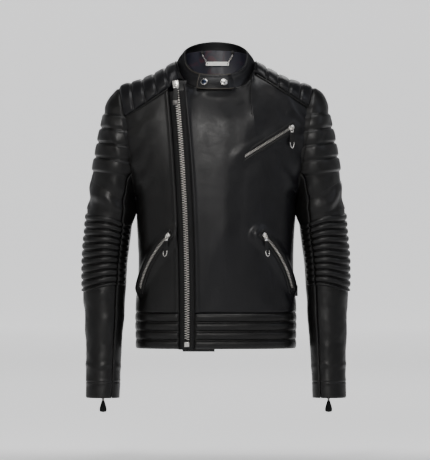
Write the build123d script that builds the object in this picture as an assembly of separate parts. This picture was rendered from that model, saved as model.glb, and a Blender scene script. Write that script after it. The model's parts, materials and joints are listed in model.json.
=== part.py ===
from build123d import *
import math
import os

# Leather riding jacket, closed, hanging as on a wearer.
# Origin: centre of the neck base. +Z up, -Y is the jacket's front, +X is the wearer's left.

# ---- driving dimensions, mm ----
HEM_Z, WAIST_SEAM_Z = -626.0, -546.0
ARMPIT_Z, SHOULDER_Z = -286.0, -45.0
NECK_HALF_WIDTH = 92.0          # neck base, at the shoulder line
NECK_FRONT_Z = -50.0
LEATHER = 3.0                   # leather with its interlining
LINING = 1.0
LINING_DEPTH = 8.4              # from the outer face to the lining's outer face
SEAM_GAP = 0.6
PLACKET_HALF = 17.0             # half of the gap between the fronts, filled by the zip
ELBOW_Z, ELBOW_TOP_Z, ELBOW_END_Z = -405.0, -313.0, -497.0
HEAD_END_Z = -250.0             # lower end of the quilted sleeve head
CUFF_Z = -736.0
ROUNDNESS = 2.5                 # exponent of the torso's rounded section
SIDES = {"left": 1, "right": -1}   # wearer's left is +X

# torso: height, half width, back depth; hem to neck
TORSO_ROWS = [
    (-640, 180, 100), (-546, 181, 102), (-450, 174, 95), (-346, 178, 102),
    (-286, 182, 108), (-200, 204, 112), (-140, 216, 108), (-95, 216, 100),
    (-50, 216, 88), (-10, 216, 76), (30, 216, 62),
]
ZIP_TOP = Vector(-90, -88, -36)
ZIP_END = Vector(-65.5, -96, -612)
ZIP_BULGE = Vector(8, -14, 0)   # how far the zip's middle stands off its chord
NECK_DEPTH_ROWS = [(-36, 91.4), (-10, 74), (30, 52)]
RIDGE_ROWS = [(92, 15), (136, -9), (164, -22), (201, -36), (217, -46)]
YOKE_SEAM_Z = {"left": (-11.0, -87.0), "right": (-34.0, -111.0)}   # at the neck, at the armhole
ARMHOLE_CENTRE_Z, ARMHOLE_HALF_HEIGHT, ARMHOLE_HALF_DEPTH = -165.0, 120.0, 66.0

# sleeve sections: outer point, inner point (x, z), half depth, centre y
SLEEVE_ROWS = [
    ((217.6, -45.5), (183.4, -286.5), 65.5, 0),
    ((238, -63), (184.0, -291), 68, 0),
    ((256, -117), (184.6, -296), 69, 0),
    ((273, -198), (185.2, -302), 68, 0),
    ((282, -258), (185.8, -309), 65, 0),
    ((289, -318), (186.4, -330), 61, 0),
    ((294, -375), (191, -375), 58, 0),
    ((297, -405), (195, -405), 57, -1),
    ((298, -427), (198, -427), 56, -3),
    ((298, -497), (202, -497), 51, -12),
    ((295, -560), (206, -560), 47, -19),
    ((292, -643), (212, -643), 42, -27),
    ((292, -736), (216, -736), 40, -38),
]

os.makedirs("parts", exist_ok=True)


def save(name, *solids):
    """Write one node's solids to its STEP file."""
    shape = solids[0] if len(solids) == 1 else Compound(children=list(solids))
    export_step(shape, f"parts/{name}.step")


def lookup(rows, key):
    """Straight-line interpolation in rows sorted either way on their first value."""
    rows = sorted(rows)
    key = min(max(key, rows[0][0]), rows[-1][0])
    for low, high in zip(rows, rows[1:]):
        if key <= high[0]:
            share = (key - low[0]) / (high[0] - low[0])
            return [a + share * (b - a) for a, b in zip(low[1:], high[1:])]


def steps(start, end, count):
    return [start + (end - start) * i / (count - 1) for i in range(count)]


# ---- torso surface ----
def zip_line(z):
    """x and y of the main zip's centre line at a height."""
    t = (ZIP_TOP.Z - z) / (ZIP_TOP.Z - ZIP_END.Z)
    p = ZIP_TOP + (ZIP_END - ZIP_TOP) * t + ZIP_BULGE * (4 * t * (1 - t))
    return p.X, p.Y


def armhole_x(z):
    """The armhole lies in a plane that leans outwards towards the shoulder."""
    return 216.0 + (z - SHOULDER_Z) * 34.0 / (SHOULDER_Z - ARMPIT_Z)


def half_width(z):
    """Half width of the torso; in the armhole's height it meets the armhole's outline."""
    if not ARMPIT_Z < z < SHOULDER_Z:
        return lookup(TORSO_ROWS, z)[0]
    rise = (z - ARMHOLE_CENTRE_Z) / (ARMHOLE_HALF_HEIGHT + 1.5)
    edge = ARMHOLE_HALF_DEPTH * math.sqrt(max(0.0, 1 - rise * rise))
    return armhole_x(z) / (1 - (edge / 104.0) ** ROUNDNESS) ** (1 / ROUNDNESS)


def front_depth(z):
    if z > ZIP_TOP.Z:
        return lookup(NECK_DEPTH_ROWS, z)[0]
    x, y = zip_line(z)
    return -y / (1 - (abs(x) / half_width(z)) ** ROUNDNESS) ** (1 / ROUNDNESS)


def angle_at(x, z, back=False):
    """Angle round the torso at which its outer face passes x: -90 is the front, 90 the back."""
    c = min(1.0, abs(x) / half_width(z)) ** (ROUNDNESS / 2)
    angle = math.degrees(math.acos(c))
    angle = angle if x > 0 else 180 - angle
    return angle if back else -angle


def torso_point(angle, z, depth=0.0):
    c, s = math.cos(math.radians(angle)), math.sin(math.radians(angle))
    reach = lookup(TORSO_ROWS, z)[1] if s > 0 else front_depth(z)
    power = 2 / ROUNDNESS
    x = (half_width(z) - depth) * math.copysign(abs(c) ** power, c)
    y = (reach - depth) * math.copysign(abs(s) ** power, s)
    return Vector(x, y, z)


def front_y(x, z, depth=0.0):
    """y of the front face at x and z."""
    return torso_point(angle_at(x, z), z, depth).Y


def band(outer, inner):
    """Closed outline of a thin band between two rows of points."""
    return Wire([
        Spline(*outer), Line(outer[-1], inner[-1]),
        Spline(*reversed(inner)), Line(inner[0], outer[0]),
    ])


def torso_band(heights, span, near, far, count=11):
    """Loft a shell of the torso between two depths; span(z) gives its two end angles."""
    wires = []
    for z in heights:
        angles = steps(*span(z), count)
        wires.append(band(
            [torso_point(a, z, near) for a in angles],
            [torso_point(a, z, far) for a in angles],
        ))
    return Solid.make_loft(wires, ruled=True)


def yoke_x(side, z):
    """x of the yoke's front seam at a height."""
    z_in, z_out = YOKE_SEAM_Z[side]
    share = (z_in - z) / (z_in - z_out)
    return NECK_HALF_WIDTH + share * (armhole_x(z_out) - NECK_HALF_WIDTH)


def neck_x(side, z):
    """x of the front neckline at a height."""
    z_in = YOKE_SEAM_Z[side][0]
    return NECK_HALF_WIDTH * math.sqrt(max(0.0, (z - NECK_FRONT_Z) / (z_in - NECK_FRONT_Z)))


def outer_limit(side, z):
    """Largest x of a front or back panel: side seam, armhole or yoke seam."""
    if z <= ARMPIT_Z:
        return half_width(z)
    if z <= YOKE_SEAM_Z[side][1]:
        return armhole_x(z) - SEAM_GAP
    return yoke_x(side, z) - SEAM_GAP


def seam_angle(side, z, back=False):
    if z <= ARMPIT_Z:
        base = 0.25
        angle = base if back else -base
        return angle if side == "left" else (180 - angle if back else -180 - angle)
    return angle_at(SIDES[side] * outer_limit(side, z), z, back)


def front_span(side):
    def span(z):
        zip_x = zip_line(min(z, ZIP_TOP.Z))[0]
        if side == "left":
            inner = zip_x + PLACKET_HALF
            if z > NECK_FRONT_Z:
                inner = max(inner, neck_x(side, z) + SEAM_GAP)
        else:
            inner = zip_x - PLACKET_HALF
        return angle_at(inner, z), seam_angle(side, z)
    return span


def back_span(z):
    left, right = seam_angle("left", z, True), seam_angle("right", z, True)
    if z > YOKE_SEAM_Z["right"][1]:
        edge = yoke_x("left", min(z, -12.0)) if z < -12 else NECK_HALF_WIDTH
        edge = min(edge, yoke_x("right", min(z, -35.0)) if z < -35 else edge) - 3 * SEAM_GAP
        left, right = angle_at(edge, z, True), angle_at(-edge, z, True)
    return left, right


def heights(top):
    marks = [WAIST_SEAM_Z + 0.5, -500, -450, -400, -346, ARMPIT_Z, -284, -276, -262, -240, -215,
             -190, -165, -140, -125]
    return marks + [z for z in (-111, -100, -87, -75, -62, -50, -45) if z < top - 3] + [top]


def torso_shell():
    tops = {"left": -13.0, "right": -56.0}
    for side, top in tops.items():
        save(f"front_panel_{side}", torso_band(heights(top), front_span(side), 0, LEATHER))
    save("back_panel", torso_band(heights(-46.0) + [-36, -12, 6, 16], back_span, 0, LEATHER, 15))
    lining = (LINING_DEPTH, LINING_DEPTH + LINING)
    shells = [
        torso_band(heights(-60.0), front_span(side), *lining) for side in SIDES
    ]
    shells.append(torso_band(heights(-46.0) + [-36, -12, 6], back_span, *lining, 15))
    return shells


def waistband():
    levels = steps(HEM_Z, WAIST_SEAM_Z, 5)
    pads = (-2.0, LEATHER)
    for side in SIDES:
        save(f"waistband_{side}", torso_band(levels, front_span(side), *pads))
    save("waistband_back", torso_band(levels, back_span, *pads, 15))


def yoke(side):
    """Quilted shoulder piece: an arch from the front seam over the shoulder to the back seam."""
    sign = SIDES[side]
    z_in, z_out = YOKE_SEAM_Z[side]
    wires = []
    for share in steps(0.0, 1.0, 7):
        seam_z = z_in + share * (z_out - z_in)
        seam_x = NECK_HALF_WIDTH + share * (armhole_x(z_out) - NECK_HALF_WIDTH)
        front = front_y(sign * seam_x, seam_z)
        back = torso_point(angle_at(sign * seam_x, seam_z, True), seam_z).Y

        def arch(inset):
            points = []
            for u in steps(-90, 90, 15):
                side_y = (back if u > 0 else -front) - inset
                top = lookup(RIDGE_ROWS, seam_x)[0] - inset
                z = top - (top - seam_z - SEAM_GAP) * (1 - math.cos(math.radians(u)))
                x = NECK_HALF_WIDTH + 0.6 + share * (armhole_x(z) - NECK_HALF_WIDTH - 1.4)
                points.append(Vector(sign * x, side_y * math.sin(math.radians(u)), z))
            return points
        wires.append(band(arch(0.0), arch(LEATHER)))
    return Solid.make_loft(wires, ruled=True)


# ---- collar ----
COLLAR_THICK = 3.0
COLLAR_DIP = 1.4               # how fast the collar drops from the shoulders to the front
TAB_OFFSET = 3.4


def collar_point(angle, rise, offset=0.0):
    """Point on the stand collar: angle round the neck, rise 0 at the base to 1 at the top."""
    c, s = math.cos(math.radians(angle)), math.sin(math.radians(angle))
    back = s > 0
    drop = 1 - (1 - abs(s)) ** COLLAR_DIP
    low_z = 16 + (5 * s if back else -64 * drop)
    high_z = 38 + (27 * s if back else -51 * drop)
    low = Vector((88.0 + offset) * c, ((64.0 if back else 85.0) + offset) * s, low_z)
    high = Vector((72.0 + offset) * c, ((62.0 if back else 68.0) + offset) * s, high_z)
    return low + (high - low) * rise


def collar_band(start, end, near, far, count=25, low=0.0):
    """Loft a length of collar between two offsets from its outer face."""
    wires = []
    for angle in steps(start, end, count):
        corners = [collar_point(angle, r, o) for r, o in ((low, near), (1, near), (1, far), (low, far))]
        wires.append(Wire.make_polygon(corners, close=True))
    return Solid.make_loft(wires, ruled=True)


TAB_ROOT, TAB_TIP = -67.0, -118.0        # angles of the free end's fold and its edge
STUD_ANGLES = (-107.5, -79.0)


def stud_frame(angle, offset):
    """Plane lying on the collar's front at a press stud, facing outwards."""
    p = collar_point(angle, 0.5, offset)
    along = collar_point(angle + 1, 0.5, offset) - collar_point(angle - 1, 0.5, offset)
    up = collar_point(angle, 1, offset) - collar_point(angle, 0, offset)
    return Plane(origin=p, x_dir=along.normalized(), z_dir=along.cross(up).normalized())


def disc(plane, low, high, radius, bore=0.0):
    """Disc or ring standing on a plane between two heights."""
    ring = Cylinder(radius, high - low)
    if bore:
        ring = ring - Cylinder(bore, high - low + 2)
    return (plane * Pos(0, 0, (low + high) / 2) * ring).solid()


def collar():
    save("collar_outer", collar_band(TAB_ROOT + 0.6, TAB_ROOT - 6 + 360, 0, -COLLAR_THICK, 49))
    save("collar_facing", collar_band(TAB_ROOT + 0.6, TAB_ROOT - 6 + 360,
                                      -COLLAR_THICK - 0.1, -COLLAR_THICK - 1.6, 49))
    save("collar_tab", collar_band(TAB_ROOT, TAB_TIP, TAB_OFFSET + COLLAR_THICK, TAB_OFFSET, 25, 0.12))
    studs, caps = [], []
    for angle in STUD_ANGLES:
        under, over = stud_frame(angle, 0.0), stud_frame(angle, TAB_OFFSET + COLLAR_THICK)
        studs.append(disc(under, 0.15, 0.9, 4.6))
        studs.append(disc(under, 0.9, 2.3, 2.0))
        caps.append(disc(over, 0.2, 1.8, 7.5))
        caps.append(disc(under, 1.9, 2.9, 4.6, 2.6))
    save("press_studs", *studs)
    save("press_stud_caps", *caps)


# ---- hanger chain ----
HANGER_X, HANGER_HALF, HANGER_Y, HANGER_Z = 4.0, 34.0, 46.0, 34.0


def hanger():
    plate_z, plate_half = HANGER_Z - 19.0, 26.0
    plate = Pos(HANGER_X, HANGER_Y, plate_z) * Box(2 * plate_half, 1.4, 8.6)
    hole = Rot(90, 0, 0) * Cylinder(1.4, 6)
    for sign in (1, -1):
        plate = plate - Pos(HANGER_X + sign * (plate_half - 3.4), HANGER_Y, plate_z) * hole
    save("hanger_plate", plate.solid())
    links, loops = [], []
    for sign in (1, -1):
        loop = Pos(HANGER_X + sign * HANGER_HALF, HANGER_Y, HANGER_Z) * Rot(0, 90, 0) * Torus(2.6, 0.7)
        loops.append(loop.solid())
        run = Vector(-sign * (HANGER_HALF - plate_half + 3.0), 0, plate_z + 6.7 - HANGER_Z + 3.3)
        for i in range(5):
            share = i / 4
            place = Vector(HANGER_X + sign * HANGER_HALF, HANGER_Y, HANGER_Z - 3.3) + run * share
            turn = 0 if i % 2 == 0 else 90
            links.append((Pos(place) * Rot(90, 0, turn) * Torus(1.5 if i else 2.3, 0.5)).solid())
    save("hanger_chain", *links)
    save("hanger_loops", *loops)


# ---- zips ----
class Track:
    """Centre line of a zip: the arc through three points, with the outward direction."""

    def __init__(self, start, middle, end, out):
        self.start, self.end = start, end
        a, b = start - middle, end - middle
        n = a.cross(b)
        self.centre = middle + (b * a.dot(a) - a * b.dot(b)).cross(n) / (2 * n.dot(n))
        self.axis = n.normalized()
        r0, r1 = start - self.centre, end - self.centre
        self.sweep = r0.get_angle(r1)
        if r0.cross(r1).dot(self.axis) < 0:
            self.axis = self.axis * -1
        self.travel = self.axis.cross(r0).normalized()
        self.out = (out - self.travel * out.dot(self.travel)).normalized()
        self.side = self.travel.cross(self.out).normalized()

    def plane(self):
        """Plane at the closed end: x along the travel, z outwards."""
        return Plane(origin=self.start, x_dir=self.travel, z_dir=self.out)

    def ribbon(self, half, low, high, first=0.0, last=1.0, shift=0.0):
        """Strip along the track: half width, height range and part of the length."""
        def corner(s, h):
            return self.start + self.side * (s + shift) + self.out * h
        outline = Wire.make_polygon(
            [corner(-half, low), corner(half, low), corner(half, high), corner(-half, high)],
            close=True)
        turned = Axis(self.centre, self.axis)
        face = Face(outline).rotate(turned, self.sweep * first)
        return Solid.revolve(face, self.sweep * (last - first), turned)


TAPE_LOW, TAPE_HIGH = -2.6, -1.4          # heights from the leather's outer face


def zip_parts(track, chain_half, chain_high, tape_half, tape_low, tape_high, stop, above):
    """Tape reaching a little past the chain, above and below, and chain with its bottom stop."""
    reach = (track.start - track.centre).length * math.radians(track.sweep)
    end = stop / reach
    tape = track.ribbon(tape_half, tape_low, tape_high, -above / reach, 1 + 2 * end)
    chain = track.ribbon(chain_half, tape_high, chain_high, 0.0, 1.0 - end)
    bottom = track.ribbon(chain_half, tape_high, chain_high + 0.3, 1 - end * 0.9, 1.0)
    return tape, [chain, bottom]


def slider(track, chain_half, chain_high, tape_high, length, hang):
    """Slider over the chain: top plate, side flanges, and a lug with a window for the puller."""
    plane = track.plane()
    gap, wall, plate = 0.4, 1.3, 1.5
    width = 2 * (chain_half + gap + wall)
    floor = chain_high + gap
    body = Pos(0, 0, floor + plate / 2) * Box(length, width, plate)
    flange = floor - tape_high - gap
    for sign in (1, -1):
        y = sign * (chain_half + gap + wall / 2)
        body = body + Pos(0, y, floor - flange / 2 + 0.2) * Box(length, wall, flange + 0.4)
    top = floor + plate
    pin_height = top + 1.5
    shell = (plane * body).solid()
    base = Plane(origin=plane.origin, x_dir=hang, z_dir=plane.z_dir)
    lug = Pos(0, 0, top + 1.9) * Box(7.0, 2.4, 4.2)
    lug = lug - Pos(0, 0, pin_height) * Box(3.0, 6, 2.8)
    return shell + (base * lug).solid(), base, pin_height


def puller(base, pin_height, width, length, tilt, tip, strap_shift=0.0):
    """Leather strap and its metal: pin and arms at the slider, and the end piece."""
    frame = base * Pos(0, 0, pin_height) * Rot(0, tilt, 0)
    pin = Rot(90, 0, 0) * Cylinder(0.8, 6.6)
    metal = pin
    for sign in (1, -1):
        metal = metal + Pos(4.0, sign * 2.7, 0) * Box(9.4, 1.2, 1.6)
    metal = metal + Pos(9.5, 0, 0) * Box(3.0, max(width - 2, 6.6), 2.6)
    strap = Pos(11.0 + length / 2, 0, 0) * Box(length, width, 2.2)
    end = Pos(11.0 + length + tip / 2, 0, 0) * Box(tip, width - 0.6, 1.8)
    return (frame * strap).solid(), [(frame * metal).solid(), (frame * end).solid()]


def surface_track(points, lift=0.0):
    """Track through three (x, z) points on the torso's front."""
    on = [Vector(x, front_y(x, z) - lift, z) for x, z in points]
    x, z = points[1]
    along = (front_y(x + 2, z) - front_y(x - 2, z)) / 4
    up = (front_y(x, z + 2) - front_y(x, z - 2)) / 4
    return Track(*on, Vector(along, -1, up))


def hang_direction(track):
    down = Vector(0, 0, -1)
    return (down - track.out * down.dot(track.out)).normalized()


POCKETS = {
    "chest": [(167, -132), (112, -166), (57, -200)],
    "pocket_left": [(106.5, -373), (142, -420), (170, -495)],
    "pocket_right": [(-106.5, -373), (-142, -420), (-170, -495)],
}
POCKET_CHAIN = (3.1, 3.3)                 # half width, top of the chain
MAIN_CHAIN = (5.2, 1.6)
POCKET_LIFT = {"chest": 1.0, "pocket_left": 6.8, "pocket_right": 6.8}   # clear of the leather
CUFF_ZIP_TOP_Z, CUFF_ZIP_END_Z = -604.0, -731.0


def main_zip():
    middle = (ZIP_TOP + ZIP_END) * 0.5 + ZIP_BULGE
    track = Track(ZIP_TOP, middle, ZIP_END, Vector(-0.16, -1, 0))
    tape, chain = zip_parts(track, *MAIN_CHAIN, 15.6, TAPE_LOW, TAPE_HIGH, 9.0, -18.0)
    save("main_zip_tape", tape)
    save("main_zip_chain", *chain)
    body, base, pin = slider(track, *MAIN_CHAIN, TAPE_HIGH, 20.0, hang_direction(track))
    save("main_zip_slider", body)
    strap, metal = puller(base, pin, 12.0, 26.0, 0.0, 9.0)
    save("main_zip_puller", strap)
    save("main_zip_puller_metal", *metal)
    report("main_zip", track, base, pin, 0.955)


def numbers(vector, scale=1.0):
    return [round(v * scale, 7) for v in tuple(vector)]


def report(name, track, base, pin, share):
    """Print a zip's joint data in metres: arc centre and axis, travel, and the puller's pin."""
    print(name, "arc", numbers(track.centre, 0.001), numbers(track.axis),
          round(track.sweep * share, 3),
          "pin", numbers(base.origin + base.z_dir * pin, 0.001), numbers(base.y_dir))


def pocket_zips():
    tapes, chains = [], []
    for name, points in POCKETS.items():
        track = surface_track(points, POCKET_LIFT[name])
        tape, chain = zip_parts(track, *POCKET_CHAIN, 6.5, 0.4, 1.2, 4.0, 8.0)
        tapes.append(tape)
        chains += chain
        body, base, pin = slider(track, *POCKET_CHAIN, 1.2, 12.0, hang_direction(track))
        save(f"{name}_slider", body)
        chest = name == "chest"
        strap, metal = puller(base, pin, 9.0 if chest else 10.5, 26.0, 4.0 if chest else -6.0, 11.0)
        save(f"{name}_puller", strap)
        save(f"{name}_puller_metal", *metal)
        report(name, track, base, pin, 0.9)
    save("pocket_zip_tapes", *tapes)
    save("pocket_zip_chains", *chains)


def pocket_bags():
    """Flat bags behind the fronts: height range, then x at the top and at the bottom."""
    shapes = [(-150, -340, (70, 160), (60, 150)), (-390, -530, (85, 150), (70, 150)),
              (-390, -530, (-150, -100), (-150, -98))]
    bags = []
    for top, bottom, upper, lower in shapes:
        def span(z, top=top, bottom=bottom, upper=upper, lower=lower):
            share = (top - z) / (top - bottom)
            return [angle_at(a + share * (b - a), z) for a, b in zip(upper, lower)]
        bags.append(torso_band(steps(bottom, top, 5), span, 4.4, 7.4, 7))
    save("pocket_bags", *bags)


def zip_facing():
    def span(z):
        x = zip_line(z)[0]
        return angle_at(x - 12, z), angle_at(x + 62, z)
    save("zip_facing", torso_band(steps(HEM_Z - 6, -64, 9), span, 4.6, 7.0, 7))


# ---- sleeves ----
def sleeve_rows(z_low, z_high):
    """Sections whose outer point lies between two heights, with cut rows at both."""
    keyed = [(o[1], o[0], i[0], i[1], depth, y) for o, i, depth, y in SLEEVE_ROWS]
    inside = [row for row in keyed if z_low < row[0] < z_high]
    ends = [(z, *lookup(keyed, z)) for z in (z_low, z_high)]
    return sorted(inside + ends)


def sleeve_point(sign, row, angle, depth=0.0):
    """Point on a sleeve section: 0 is its outer side, 90 its back, 180 the body's side."""
    z_out, x_out, x_in, z_in, half_depth, y = row
    outer, inner = Vector(x_out, 0, z_out), Vector(x_in, 0, z_in)
    centre, reach = (outer + inner) * 0.5, (outer - inner) * 0.5
    reach = reach * (1 - depth / reach.length)
    c, s = math.cos(math.radians(angle)), math.sin(math.radians(angle))
    p = centre + reach * c
    return Vector(sign * p.X, y + (half_depth - depth) * s, p.Z)


def sleeve_band(sign, rows, start, end, near=0.0, far=LEATHER, count=13):
    wires = []
    for row in rows:
        angles = steps(start, end, count)
        wires.append(band([sleeve_point(sign, row, a, near) for a in angles],
                          [sleeve_point(sign, row, a, far) for a in angles]))
    return Solid.make_loft(wires, ruled=True)


UPPER_SPAN = (-124.7, 124.7)             # the outer piece of a two-piece sleeve
UNDER_SPAN = (125.3, 234.7)


def sleeve(side):
    sign = SIDES[side]
    top = SLEEVE_ROWS[0][0][1]
    half_gap = 0.3
    save(f"sleeve_head_{side}",
         sleeve_band(sign, sleeve_rows(HEAD_END_Z + half_gap, top), *UPPER_SPAN))
    save(f"upper_sleeve_{side}",
         sleeve_band(sign, sleeve_rows(ELBOW_TOP_Z + half_gap, HEAD_END_Z - half_gap), *UPPER_SPAN))
    save(f"elbow_upper_{side}",
         sleeve_band(sign, sleeve_rows(ELBOW_Z + half_gap, ELBOW_TOP_Z - half_gap), *UPPER_SPAN))
    save(f"under_sleeve_{side}",
         sleeve_band(sign, sleeve_rows(ELBOW_Z + half_gap, top), *UNDER_SPAN))
    save(f"elbow_lower_{side}",
         sleeve_band(sign, sleeve_rows(ELBOW_END_Z + half_gap, ELBOW_Z - half_gap), *UPPER_SPAN))
    save(f"forearm_{side}",
         sleeve_band(sign, sleeve_rows(CUFF_Z, ELBOW_END_Z - half_gap), *UPPER_SPAN))
    save(f"under_forearm_{side}",
         sleeve_band(sign, sleeve_rows(CUFF_Z, ELBOW_Z - half_gap), *UNDER_SPAN))
    inset = (LEATHER + 0.4, LEATHER + 1.4)
    save(f"forearm_lining_{side}",
         sleeve_band(sign, sleeve_rows(CUFF_Z + 8, ELBOW_Z - 3), -178, 178, *inset, 25))
    return sleeve_band(sign, sleeve_rows(ELBOW_Z + 3, top - 8), -178, 178, *inset, 25)


def cuff_zip(side):
    """Short zip down the back of the cuff; its slider rests at the hem when closed."""
    sign = SIDES[side]
    name = f"cuff_zip_{side}"

    def back_point(z):
        keyed = [(o[1], o[0], i[0], i[1], d, y) for o, i, d, y in SLEEVE_ROWS]
        return sleeve_point(sign, (z, *lookup(keyed, z)), 90) + Vector(0, 0.6, 0)
    low, high = back_point(CUFF_ZIP_END_Z), back_point(CUFF_ZIP_TOP_Z)
    up = (high - low).normalized()
    out = Vector(0, 1, 0)
    out = (out - up * out.dot(up)).normalized()
    length = (high - low).length
    plane = Plane(origin=low, x_dir=up, z_dir=out)
    tape = (plane * Pos(length / 2, 0, 1.0) * Box(length + 6, 16, 0.8)).solid()
    chain = (plane * Pos(length / 2 - 1, 0, 2.2) * Box(length - 3, 5.2, 1.6)).solid()
    save(f"{name}_tape", tape)
    save(f"{name}_chain", chain)

    class Straight:
        def plane(self):
            return plane
    body, base, pin = slider(Straight(), 2.6, 3.0, 1.4, 11.0, Vector(0, 0, -1) - out * -out.Z)
    save(f"{name}_slider", body)
    frame = base * Pos(0, 0, pin)
    ring = Rot(90, 0, 0) * Cylinder(0.8, 6.6)
    for y in (2.7, -2.7):
        ring = ring + Pos(4.0, y, 0) * Box(9.4, 1.2, 1.6)
    drop = Pos(13.0 + 12.0, 0, 0) * Box(28.0, 8.0, 3.0)
    save(f"{name}_puller", (frame * drop).solid(), (frame * ring).solid())
    print(name, "slide", numbers(up), round((length - 16) / 1000, 4),
          "pin", numbers(base.origin + base.z_dir * pin, 0.001), numbers(base.y_dir))


def side_label():
    z = -497.0
    x = half_width(z) + 3.6
    save("side_label", (Pos(x, -8, z) * Box(5.0, 1.6, 24.0)).solid())


def make_jacket():
    linings = torso_shell()
    waistband()
    collar()
    hanger()
    main_zip()
    pocket_zips()
    pocket_bags()
    zip_facing()
    for side in SIDES:
        save(f"shoulder_yoke_{side}", yoke(side))
        linings.append(sleeve(side))
        cuff_zip(side)
    save("linings", *linings)
    side_label()
    hinge_low, hinge_high = (collar_point(TAB_ROOT, r, TAB_OFFSET + COLLAR_THICK) for r in (0, 1))
    print("collar_tab pin", numbers(hinge_low, 0.001), numbers((hinge_high - hinge_low).normalized()))


make_jacket()
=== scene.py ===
import json
import math

import bpy
import numpy as np
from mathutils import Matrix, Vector, noise


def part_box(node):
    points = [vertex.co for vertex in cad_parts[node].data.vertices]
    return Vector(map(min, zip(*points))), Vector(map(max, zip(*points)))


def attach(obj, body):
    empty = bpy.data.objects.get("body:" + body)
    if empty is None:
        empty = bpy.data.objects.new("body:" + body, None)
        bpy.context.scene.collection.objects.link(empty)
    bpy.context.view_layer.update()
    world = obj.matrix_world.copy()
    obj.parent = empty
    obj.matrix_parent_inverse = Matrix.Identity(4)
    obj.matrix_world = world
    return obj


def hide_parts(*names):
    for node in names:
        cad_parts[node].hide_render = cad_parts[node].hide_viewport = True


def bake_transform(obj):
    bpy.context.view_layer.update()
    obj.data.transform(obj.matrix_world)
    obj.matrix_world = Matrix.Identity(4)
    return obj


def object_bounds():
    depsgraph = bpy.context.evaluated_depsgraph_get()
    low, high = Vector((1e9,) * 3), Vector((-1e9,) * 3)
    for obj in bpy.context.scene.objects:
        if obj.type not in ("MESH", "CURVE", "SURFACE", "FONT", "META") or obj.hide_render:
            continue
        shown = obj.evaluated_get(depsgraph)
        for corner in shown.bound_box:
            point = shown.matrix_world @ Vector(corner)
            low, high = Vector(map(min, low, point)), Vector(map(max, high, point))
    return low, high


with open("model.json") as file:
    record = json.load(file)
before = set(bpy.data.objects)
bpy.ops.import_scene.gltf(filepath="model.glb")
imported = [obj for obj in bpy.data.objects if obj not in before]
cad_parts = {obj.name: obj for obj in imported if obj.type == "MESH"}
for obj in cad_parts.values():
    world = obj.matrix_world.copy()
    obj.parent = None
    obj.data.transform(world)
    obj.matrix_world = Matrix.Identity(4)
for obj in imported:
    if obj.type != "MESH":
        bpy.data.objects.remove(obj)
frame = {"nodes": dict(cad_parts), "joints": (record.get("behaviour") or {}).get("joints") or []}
cad_box = [list(v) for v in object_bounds()]
JOINTS = {j["name"]: j for j in frame["joints"]}

# Lengths below are in millimetres in the part's frame; MM turns them into Blender's metres.
MM = 0.001
SIDES = {"left": 1, "right": -1}           # wearer's left is +X


def edge_mm(node, corner, axis):
    """One side of a CAD node's box: corner 0 is the lowest, 1 the highest."""
    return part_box(node)[corner][axis] / MM


HEM_Z = edge_mm("waistband_back", 0, 2)
WAIST_SEAM_Z = edge_mm("waistband_back", 1, 2)
CUFF_Z = edge_mm("forearm_left", 0, 2)
ARMPIT_Z, SHOULDER_Z = -286.0, -45.0
NECK_HALF_WIDTH = 92.0
ROUNDNESS = 2.5
PLACKET_HALF = 17.0
HEAD_END_Z, ELBOW_TOP_Z, ELBOW_END_Z = -250.0, -313.0, -497.0
LEATHER = 2.4                              # thickness of a finished leather edge
SEAM_STITCH = 4.5                          # from a seam to the stitches beside it
LINING_INSET = 8.4
YOKE_SEAM_Z = {"left": (-11.0, -87.0), "right": (-34.0, -111.0)}
# Body: height, half width, depth behind. Neck: height, depth in front. Shoulder ridge: side, height.
TORSO_ROWS = [
    (-640, 180, 100), (-546, 181, 102), (-450, 174, 95), (-346, 178, 102),
    (-286, 182, 108), (-200, 204, 112), (-140, 216, 108), (-95, 216, 100),
    (-50, 216, 88), (-10, 216, 76), (30, 216, 62),
]
ZIP_TOP, ZIP_END = np.array([-90, -88, -36.0]), np.array([-65.5, -96, -612.0])
ZIP_BULGE = np.array([8, -14, 0.0])
NECK_DEPTH_ROWS = [(-36, 91.4), (-10, 74), (30, 52)]
RIDGE_ROWS = [(70, 24), (92, 15), (136, -9), (164, -22), (201, -36), (217, -45)]
# Sleeve sections: (x, z) outside, (x, z) inside, half depth, y of the middle.
SLEEVE_ROWS = [
    ((217.6, -45.5), (183.4, -286.5), 65.5, 0),
    ((238, -63), (184.0, -291), 68, 0),
    ((256, -117), (184.6, -296), 69, 0),
    ((273, -198), (185.2, -302), 68, 0),
    ((282, -258), (185.8, -309), 65, 0),
    ((289, -318), (186.4, -330), 61, 0),
    ((294, -375), (191, -375), 58, 0),
    ((297, -405), (195, -405), 57, -1),
    ((298, -427), (198, -427), 56, -3),
    ((298, -497), (202, -497), 51, -12),
    ((295, -560), (206, -560), 47, -19),
    ((292, -643), (212, -643), 42, -27),
    ((292, -736), (216, -736), 40, -38),
]


# ---------------------------------------------------------------- small maths
def smooth_rows(rows, key):
    """Smooth interpolation through rows of numbers keyed on their first value."""
    table = np.array(sorted(rows), float)
    keys = table[:, 0]
    key = np.clip(np.asarray(key, float), keys[0], keys[-1])
    slopes = np.gradient(table[:, 1:], keys, axis=0)
    k = np.clip(np.searchsorted(keys, key) - 1, 0, len(keys) - 2)
    step = (keys[k + 1] - keys[k])
    t = ((key - keys[k]) / step)[..., None]
    step = step[..., None]
    a, b = table[k, 1:], table[k + 1, 1:]
    ma, mb = slopes[k] * step, slopes[k + 1] * step
    return ((2 * t**3 - 3 * t**2 + 1) * a + (t**3 - 2 * t**2 + t) * ma
            + (-2 * t**3 + 3 * t**2) * b + (t**3 - t**2) * mb)


def unit(v):
    return v / np.maximum(np.linalg.norm(v, axis=-1, keepdims=True), 1e-9)


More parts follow.
